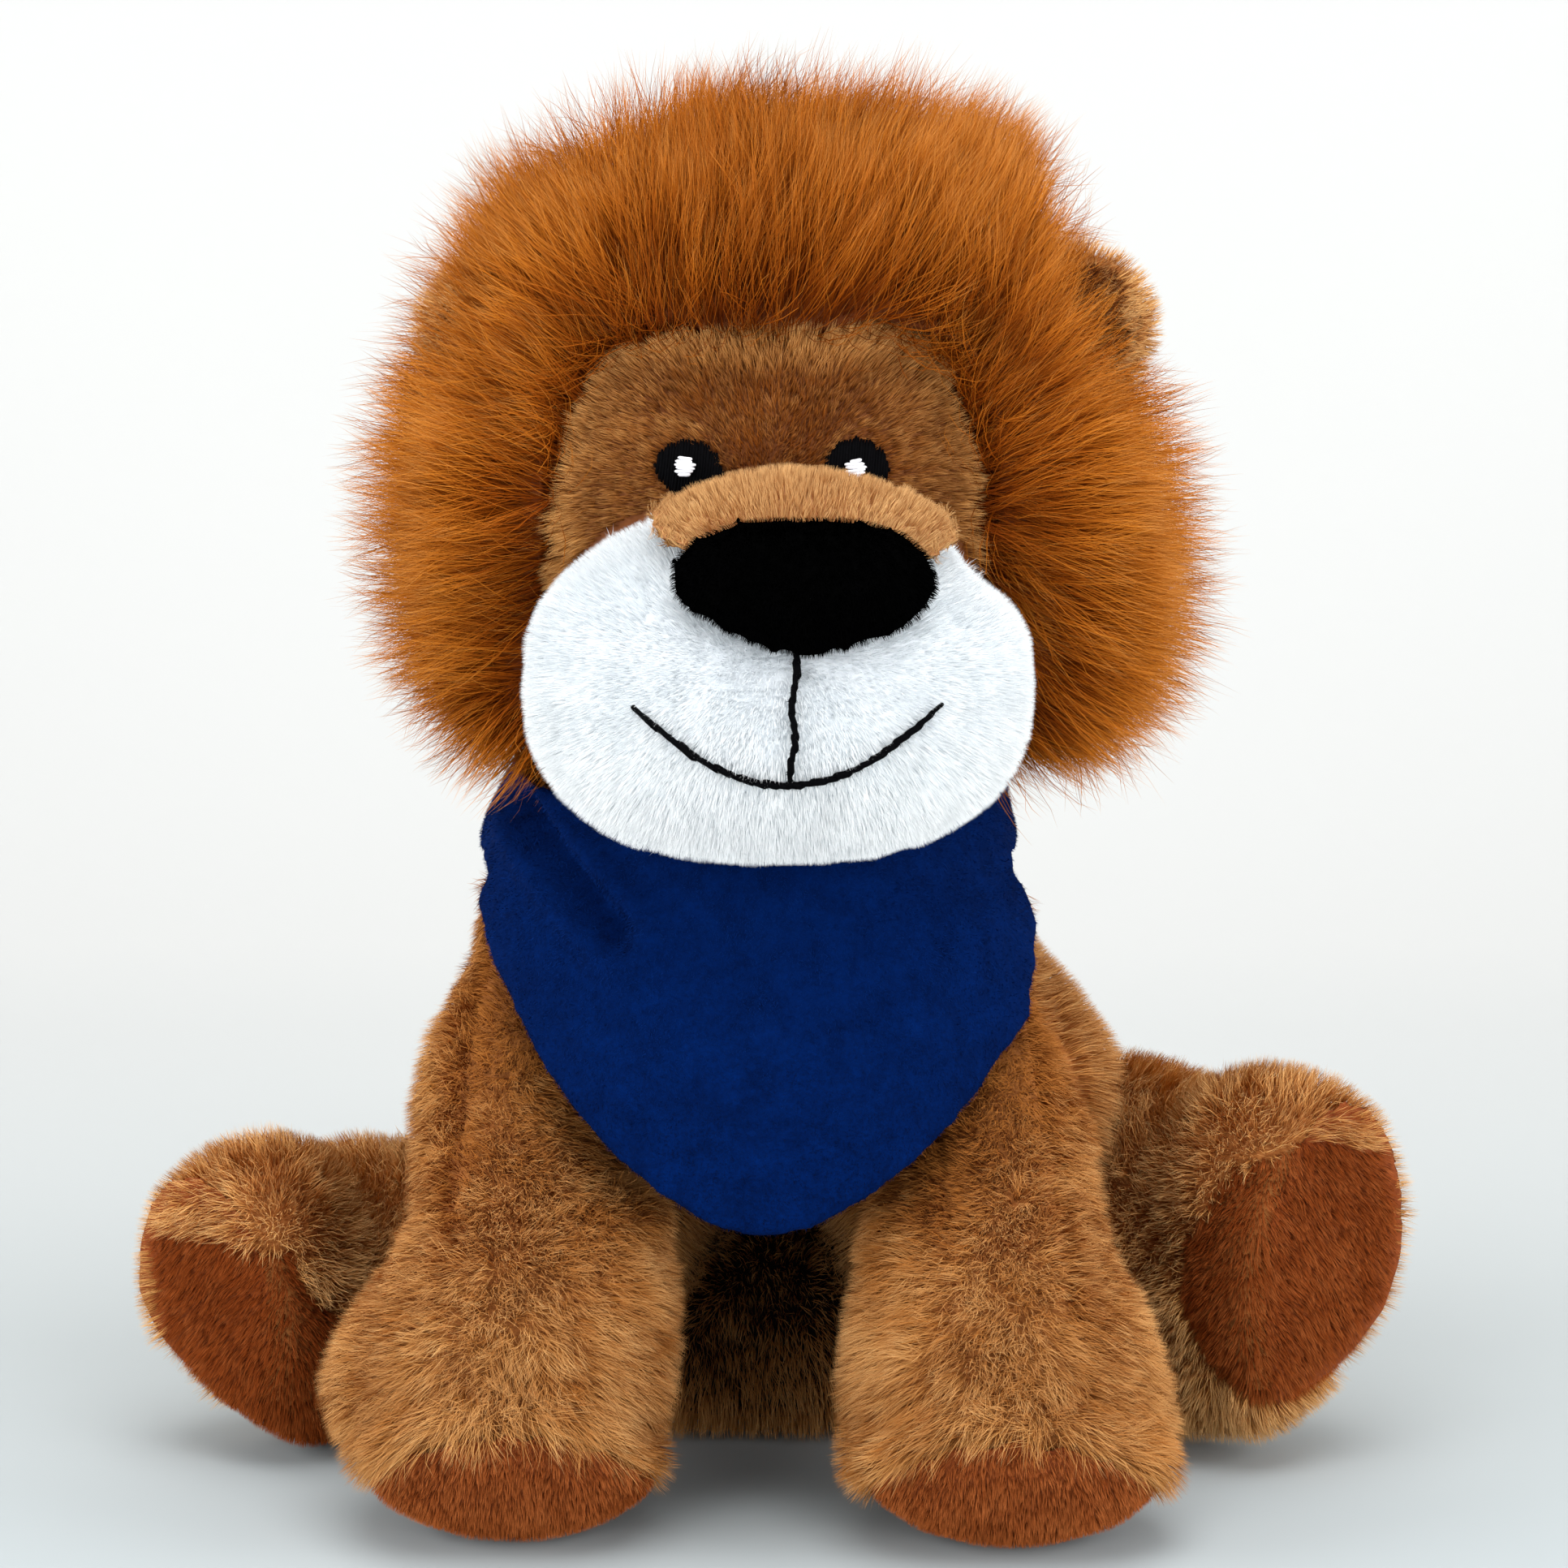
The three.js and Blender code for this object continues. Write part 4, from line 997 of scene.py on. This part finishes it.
def face_tone(points, normals):
    x, y, z = facing(points)
    dark = np.exp(-((x / 17) ** 2 + ((z - 13) / 10) ** 2))
    edge = smooth(np.hypot(x / 1.05, z - 2), 17, 28)
    rim = 0
    for side in SIDES:
        eye = node_middle(f"{side}_eye") - head_middle
        away = np.hypot(x - eye @ face_right, z - eye[2])
        rim = rim + np.exp(-((away - 5.0) / 0.5) ** 2) * smooth(z - eye[2], -2, 2)
    return 0.42 + 0.34 * edge - 0.32 * dark + 0.3 * rim + 0.3 * face_edge(points)


def face_comb(points, normals):
    x, y, z = facing(points)
    return unit((x[:, None] * face_right + (z - 4)[:, None] * UP))


def on_face(points, normals):
    """1 where the tips of the short plush stay inside its outline."""
    tips = points + 1.8 * face_comb(points, normals)
    within = inside(tips[:, 0] + noise(points, 2.0, 4) - 0.5, view_height(tips), FACE_OUTLINE)
    return (within & (normals @ face_front > 0.05)).astype(float)


def beside_face(points, normals):
    return (1 - on_face(points, normals)) * (normals @ face_front > 0.05)


eye_nodes = [f"{side}_eye{part}" for side in SIDES for part in ("", "_glint")]
coat("face_fur", "head", face_skin, "face_fur", 20.0, lambda p, n: 2.6 + 1.0 * face_edge(p), 0.105,
     face_comb, face_tone, others("face_panel", "mane", *eye_nodes, skins=eyes), allow=on_face, seed=71,
     **dict(SHORT_PLUSH, lean=(lambda p, n: 6 + 10 * face_edge(p), lambda p, n: 30 + 22 * face_edge(p))))
coat("face_side_hair", "head", face_skin, "mane_fur", 9.0, even(17.0), 0.125, mane_comb, even(0.2),
     others("face_panel", "mane"), allow=beside_face, seed=62, **MANE_HAIR)


# Muzzle
def muzzle_comb(points, normals):
    x, y, z = facing(points)
    return unit(x[:, None] * face_right + (z + 8)[:, None] * UP + [0, 0, -6.0])


# Painted light and shade: the white pile is toned darker on top and lighter towards the chin, to even out the
# light from above.
def muzzle_painted_light(points, normals):
    return mix(0.25, 1.0, smooth(-facing(points)[2], 8, 34))


def muzzle_depth(points, normals):
    """Deeper at the two upper corners, where the muzzle narrows towards the eyes."""
    x, y, z = facing(points)
    return 2.6 + mix(0.8, 3.0, smooth(x, -5, 5)) * smooth(np.abs(x - 1), 17, 28) * smooth(z, -14, 0)


muzzle_skin = skin("muzzle_skin", ["muzzle"], "head", "white_skin", muzzle_depth, voxel=2.0, rounds=4,
                   fill=0.9)
coat("muzzle_fur", "head", muzzle_skin, "white_fur", 20.0, even(2.3), 0.11, muzzle_comb, muzzle_painted_light,
     others("muzzle"), seed=72, **dict(SHORT_PLUSH, lean=(4, 26), locks=((1.4, 0.1),), mottle=0.1, waver=0.25,
                                       uneven=0.4, follow=0.97))

# Bridge of the nose
bridge_skin = skin("bridge_skin", ["muzzle_bridge"], "head", "bridge_skin", 1.5, voxel=1.2, fill=0.9)
coat("bridge_fur", "head", bridge_skin, "bridge_fur", 20.0, even(2.3), 0.1,
     lambda p, n: unit(np.sign(facing(p)[0])[:, None] * face_right * 0.3 + [0, -0.2, 0.6]),
     even(0.5), others("muzzle_bridge"), seed=73, **dict(SHORT_PLUSH, mottle=0.14))


# Nose
def nose_shape(points):
    """Fuller at its top edge and drawn down to the philtrum."""
    x, y, z = facing(points - node_middle("nose") + head_middle)
    down = np.exp(-(x / 5.0) ** 2) * smooth(-z, 0, 6)
    return points + UP * (0.9 * smooth(z, 0, 6) - 0.8 * down)[:, None]


nose_skin = skin("nose_skin", ["nose"], "head", "black_skin", 0.5, voxel=1.0, fill=0.9, shape=nose_shape)
coat("nose_fur", "head", nose_skin, "black_fur", 18.0, even(1.1), 0.1, even(DOWN), even(0.5),
     others("nose"), seed=74, **KNIT)


# Ears
def ear_coat(side):
    ear, lining = f"{side}_ear", f"{side}_ear_lining"
    out = unit(face_right * SIDES[side] * 0.8 + UP * 0.5)
    centre = node_middle(lining) + [-0.4 * SIDES[side], 0, 1.5]

    def in_ear(points, normals):
        """1 on the dark inside of the ear and 0 on its pale rim."""
        wide, high = (points[:, 0] - centre[0]) / 5.4, (points[:, 2] - centre[2] + 1.5) / 9.5
        return (np.hypot(wide, high) + 0.5 * (noise(points, 2.5, 3) - 0.5) < 1).astype(float)

    def rim(points, normals):
        return 1 - in_ear(points, normals)

    base = skin(f"{ear}_skin", [ear], "head", "skin", 0.4, voxel=1.2)
    coat(f"{ear}_fur", "head", base, "body_fur", 16.0, even(3.4), 0.12, even(out), even(0.85), seed=81,
         **PLUSH)
    base = skin(f"{lining}_skin", [lining], "head", "lining_skin", 0.3, voxel=0.6, rounds=2)
    coat(f"{ear}_rim_fur", "head", base, "body_fur", 20.0, even(3.2), 0.12, even(out), even(0.85), allow=rim,
         seed=83, **PLUSH)
    coat(f"{lining}_fur", "head", base, "lining_fur", 14.0, even(2.4), 0.13, even(out), even(0.5),
         allow=in_ear, seed=82, **SHORT_PLUSH)


for side in SIDES:
    ear_coat(side)

# Tail
TAIL_WAY = unit(np.array([0.5, 0.6, -0.2]))
TUFT_WAY = unit(np.array([1.0, -0.35, 0]))
tail_skin = skin("tail_skin", ["tail"], "tail", "skin", 1.6, voxel=1.4, rounds=3)
coat("tail_fur", "tail", tail_skin, "body_fur", 9.0, even(4.0), 0.15, even(TAIL_WAY), even(0.45),
     others("tail", "tail_tuft"), seed=91, **PLUSH)
tuft_skin = skin("tail_tuft_skin", ["tail_tuft"], "tail", "mane_skin", 3.5, voxel=1.2, rounds=3)
coat("tail_tuft_fur", "tail", tuft_skin, "mane_fur", 9.0, even(14.0), 0.15, even(TUFT_WAY), even(0.4),
     lean=(30, 70), locks=((5.0, 0.3), (2.0, 0.3)), segments=4, frizz=0.25, seed=92)


# Mouth
# How high the mouth's stitches lie over the skin of the muzzle, in its pile.
STITCH_HEIGHT = 2.0
muzzle_tree = tree_of([], [muzzle_skin])


def stitched(name, node, sideways, extra=0.0):
    """A seam of short stitches along a thin CAD solid, each dipping into the pile at its ends."""
    points, _ = arrays(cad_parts[node])
    rel = points - head_middle
    right, high, deep = rel @ face_right, rel[:, 2], rel @ face_front
    way, level = (right, high) if sideways else (high, right)
    knots = np.linspace(way.min(), way.max(), 25)
    curve = []
    for knot in knots:
        near = np.abs(way - knot) < 1.6
        while near.sum() < 6:
            near = np.abs(way - knot) <= np.sort(np.abs(way - knot))[8]
        front = deep[near]
        curve.append((np.mean(level[near]), np.percentile(front, 80)))
    curve = np.array(curve)
    for _ in range(8):
        curve[1:-1] = curve[:-2] / 4 + curve[1:-1] / 2 + curve[2:] / 4
    if extra:
        step = knots[1] - knots[0]
        more = int(extra / step)
        slope = (curve[-1] - curve[-4]) / 3
        knots = np.concatenate([knots, knots[-1] + step * np.arange(1, more + 1)])
        curve = np.concatenate([curve, curve[-1] + slope * np.arange(1, more + 1)[:, None]])
    length = knots[-1] - knots[0]
    stitches = max(3, round(length / 1.5))
    paths, radii = [], []
    for number in range(stitches):
        start, end = (knots[0] + length * (number + over) / stitches for over in (-0.3, 1.3))
        wobble = RANDOM.normal(size=2) * 0.08 + [0.2, -0.2]
        path = []
        for share in np.linspace(0, 1, 7):
            at = np.clip(mix(start, end, share), knots[0], knots[-1])
            off, front = (np.interp(at, knots, curve[:, k]) for k in (0, 1))
            off += mix(wobble[0], wobble[1], share)
            x, z = (at, off) if sideways else (off, at)
            hit = front_of(muzzle_tree, x, z)
            if hit is not None:
                front = min(front, (hit - head_middle) @ face_front + STITCH_HEIGHT)
            dip = 0.45 * (1 - math.sin(math.pi * min(max(share, 0.05), 0.95)) ** 0.4)
            path.append(head_middle + face_right * x + UP * z + face_front * (front - dip))
        paths.append(path)
        place = (number + 0.5) / stitches
        thick = RANDOM.uniform(0.36, 0.52) * mix(0.7, 1.0, smooth(min(place, 1 - place), 0, 0.15))
        radii.append(thick * np.clip(np.sin(np.linspace(0.15, math.pi - 0.15, 7)) * 2, 0.5, 1))
    ob = tubes(name, paths, radii, materials["black_thread"])
    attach(ob, "head")
    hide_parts(node)
    coat(f"{name}_fuzz", "head", ob, "black_fur", 5.0, even(0.5), 0.07, even(DOWN), even(0.5), lean=(10, 50),
         locks=((1.0, 0.1),), segments=1, stray=1.0, waver=0.8, room=2.0, seed=76)


stitched("smile_thread", "smile_stitch", True)
stitched("philtrum_thread", "philtrum_stitch", False, extra=4.0)

# Bandana
bandana = rounded("bandana_cloth", ["bandana"], 0.7, 24)
points, tris, normals, areas = surface(bandana)
# Heights and places of its two sides, as the photograph shows them, and the two ends of the crease
# beside the muzzle.
BANDANA_SIDES = (
    ((73, -37), (78, -38.3), (84, -39.2), (88, -38), (94, -35)),
    ((66.5, 34.9), (76.5, 35.5), (84.5, 33.1), (92, 31.7)),
)
CREASE = np.array([[-33.0, 92.0], [-20.0, 80.0]])
for outline in BANDANA_SIDES:
    points = fitted(points, outline, -1, 0)
front = smooth(-points[:, 1], 5, 20)
radial = unit((points - head_middle) * [1, 1, 0])
run = CREASE[1] - CREASE[0]
along = np.clip(((points[:, [0, 2]] - CREASE[0]) @ run) / (run @ run), 0, 1)
away = np.linalg.norm(points[:, [0, 2]] - CREASE[0] - along[:, None] * run, axis=1)
crease = 1.4 * np.exp(-((away - 3.6) / 2.2) ** 2) - 3.0 * np.exp(-(away / 2.0) ** 2)
waves = 0.5 * np.sin(points[:, 2] * 0.16 + np.arctan2(points[:, 0], -points[:, 1]) * 5.0)
waves = waves * smooth(points[:, 2], 60, 90) + 0.7 * (noise(points, 14.0, 3) - 0.5)
points = points + radial * (front * (crease + waves))[:, None]
place(bandana, points)
cover(bandana, "navy")
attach(bandana, "torso")
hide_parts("bandana")


def nap_painted_light(points, normals):
    """Painted light and shade: the nap paler higher up and darker towards the tip."""
    return mix(0.05, 1.0, smooth(points[:, 2], 46, 84))


coat("bandana_nap", "torso", bandana, "navy_fuzz", 8.0, even(0.6), 0.09, even(DOWN), nap_painted_light, lean=(20, 60),
     locks=((2.0, 0.1),), segments=1, frizz=0.05, seed=95, stray=0.6, waver=0.6, mottle=0.4, patch=3.0)


# Closure of the bandana
def tape(name, node, pile, **style):
    """A woven tape with its rounded edge, and the hooks or loops that stand on it."""
    base = rounded(f"{name}_tape", [node], 0.35, 4)
    cover(base, "tape", smooth_faces=False)
    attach(base, "torso")
    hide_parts(node)
    coat(f"{name}_{pile}", "torso", base, "tape_fuzz", 5.0, even(0.7), 0.12, even(DOWN), even(0.5), **style)
    return base


hooks = tape("hook", "hook_tab", "hooks", lean=(0, 88), locks=((1.0, 0.0),), segments=3, seed=96)
loops = tape("loop", "loop_tab", "loops", lean=(10, 80), locks=((1.2, 0.3),), segments=3, frizz=0.15, seed=97)


# Stage, lights, camera
def stage():
    size, back, curve = 2.6, 0.75, 0.5
    profile = [(-size, 0.0), (back - curve, 0.0)]
    for k in range(1, 13):
        angle = math.radians(90 * k / 12)
        profile.append((back - curve + curve * math.sin(angle), curve - curve * math.cos(angle)))
    profile.append((back, 2.2))
    points = np.array([[x, y, z] for y, z in profile for x in (-size, size)]) / MM
    quads = np.array([[2 * k, 2 * k + 1, 2 * k + 3, 2 * k + 2] for k in range(len(profile) - 1)])
    material, tree, principled = shader("paper", 0.9, 0.0, 0.1)
    place = tree.nodes.new("ShaderNodeTexCoord")
    parts = tree.nodes.new("ShaderNodeSeparateXYZ")
    tree.links.new(place.outputs["Object"], parts.inputs[0])
    # Painted light: the paper is coloured darker and bluer towards the front of the floor and paler towards
    # the wall.
    way = tree.nodes.new("ShaderNodeMapRange")
    way.inputs["From Min"].default_value, way.inputs["From Max"].default_value = -0.15, 0.3
    tree.links.new(parts.outputs["Y"], way.inputs["Value"])
    colours = ramp(tree, [(0.0, (172, 181, 184)), (0.45, (184, 190, 191)), (1.0, (200, 201, 200))])
    tree.links.new(way.outputs["Result"], colours.inputs["Fac"])
    tree.links.new(colours.outputs["Color"], principled.inputs["Base Color"])
    # From behind it is clear, so that the back of the toy can be looked at.
    side = tree.nodes.new("ShaderNodeNewGeometry")
    clear = tree.nodes.new("ShaderNodeBsdfTransparent")
    choice = tree.nodes.new("ShaderNodeMixShader")
    tree.links.new(side.outputs["Backfacing"], choice.inputs["Fac"])
    tree.links.new(principled.outputs["BSDF"], choice.inputs[1])
    tree.links.new(clear.outputs["BSDF"], choice.inputs[2])
    tree.links.new(choice.outputs["Shader"], tree.nodes["Material Output"].inputs["Surface"])
    floor = mesh_object("backdrop", points, [quads], material)


def lamp(name, where, size, power, target=(0, 0, 0.09)):
    data = bpy.data.lights.new(name, "AREA")
    data.shape, data.size, data.energy = "SQUARE", size, power
    ob = bpy.data.objects.new(name, data)
    ob.location = where
    ob.rotation_euler = (Vector(target) - Vector(where)).to_track_quat("-Z", "Y").to_euler()
    bpy.context.scene.collection.objects.link(ob)


stage()
lamp("top_light", (0.0, -0.3, 1.1), 0.9, 9.5)
for way in SIDES.values():
    lamp("front_light", (0.8 * way, -1.25, 0.22), 0.6, 9.5)
    lamp("side_light", (1.05 * way, -0.35, 0.45), 0.7, 7.0)
world = bpy.data.worlds.new("studio")
bpy.context.scene.world = world
world.use_nodes = True
background = world.node_tree.nodes["Background"]
background.inputs["Color"].default_value = (1, 1, 1, 1)
# How strong the room's own light is, and how bright it looks past the edge of the backdrop.
ROOM_LIGHT, ROOM_SEEN = 0.6, 0.9
seen = world.node_tree.nodes.new("ShaderNodeLightPath")
strength = world.node_tree.nodes.new("ShaderNodeMapRange")
strength.inputs["To Min"].default_value = ROOM_LIGHT
strength.inputs["To Max"].default_value = ROOM_SEEN
world.node_tree.links.new(seen.outputs["Is Camera Ray"], strength.inputs["Value"])
world.node_tree.links.new(strength.outputs["Result"], background.inputs["Strength"])

CAMERA_DISTANCE = 0.95
camera = bpy.data.cameras.new("camera")
camera.sensor_width = 36
camera.lens = 161.9
camera.clip_start, camera.clip_end = 0.01, 20
camera_object = bpy.data.objects.new("camera", camera)
bpy.context.scene.collection.objects.link(camera_object)
aim = Vector((0.0018, -0.0005, 0.091))
away = Vector((0, -math.cos(VIEW_TILT), math.sin(VIEW_TILT)))
camera_object.location = aim + away * CAMERA_DISTANCE
camera_object.rotation_euler = (-away).to_track_quat("-Z", "Y").to_euler()
bpy.context.scene.camera = camera_object
bpy.context.scene.view_settings.view_transform = "Standard"
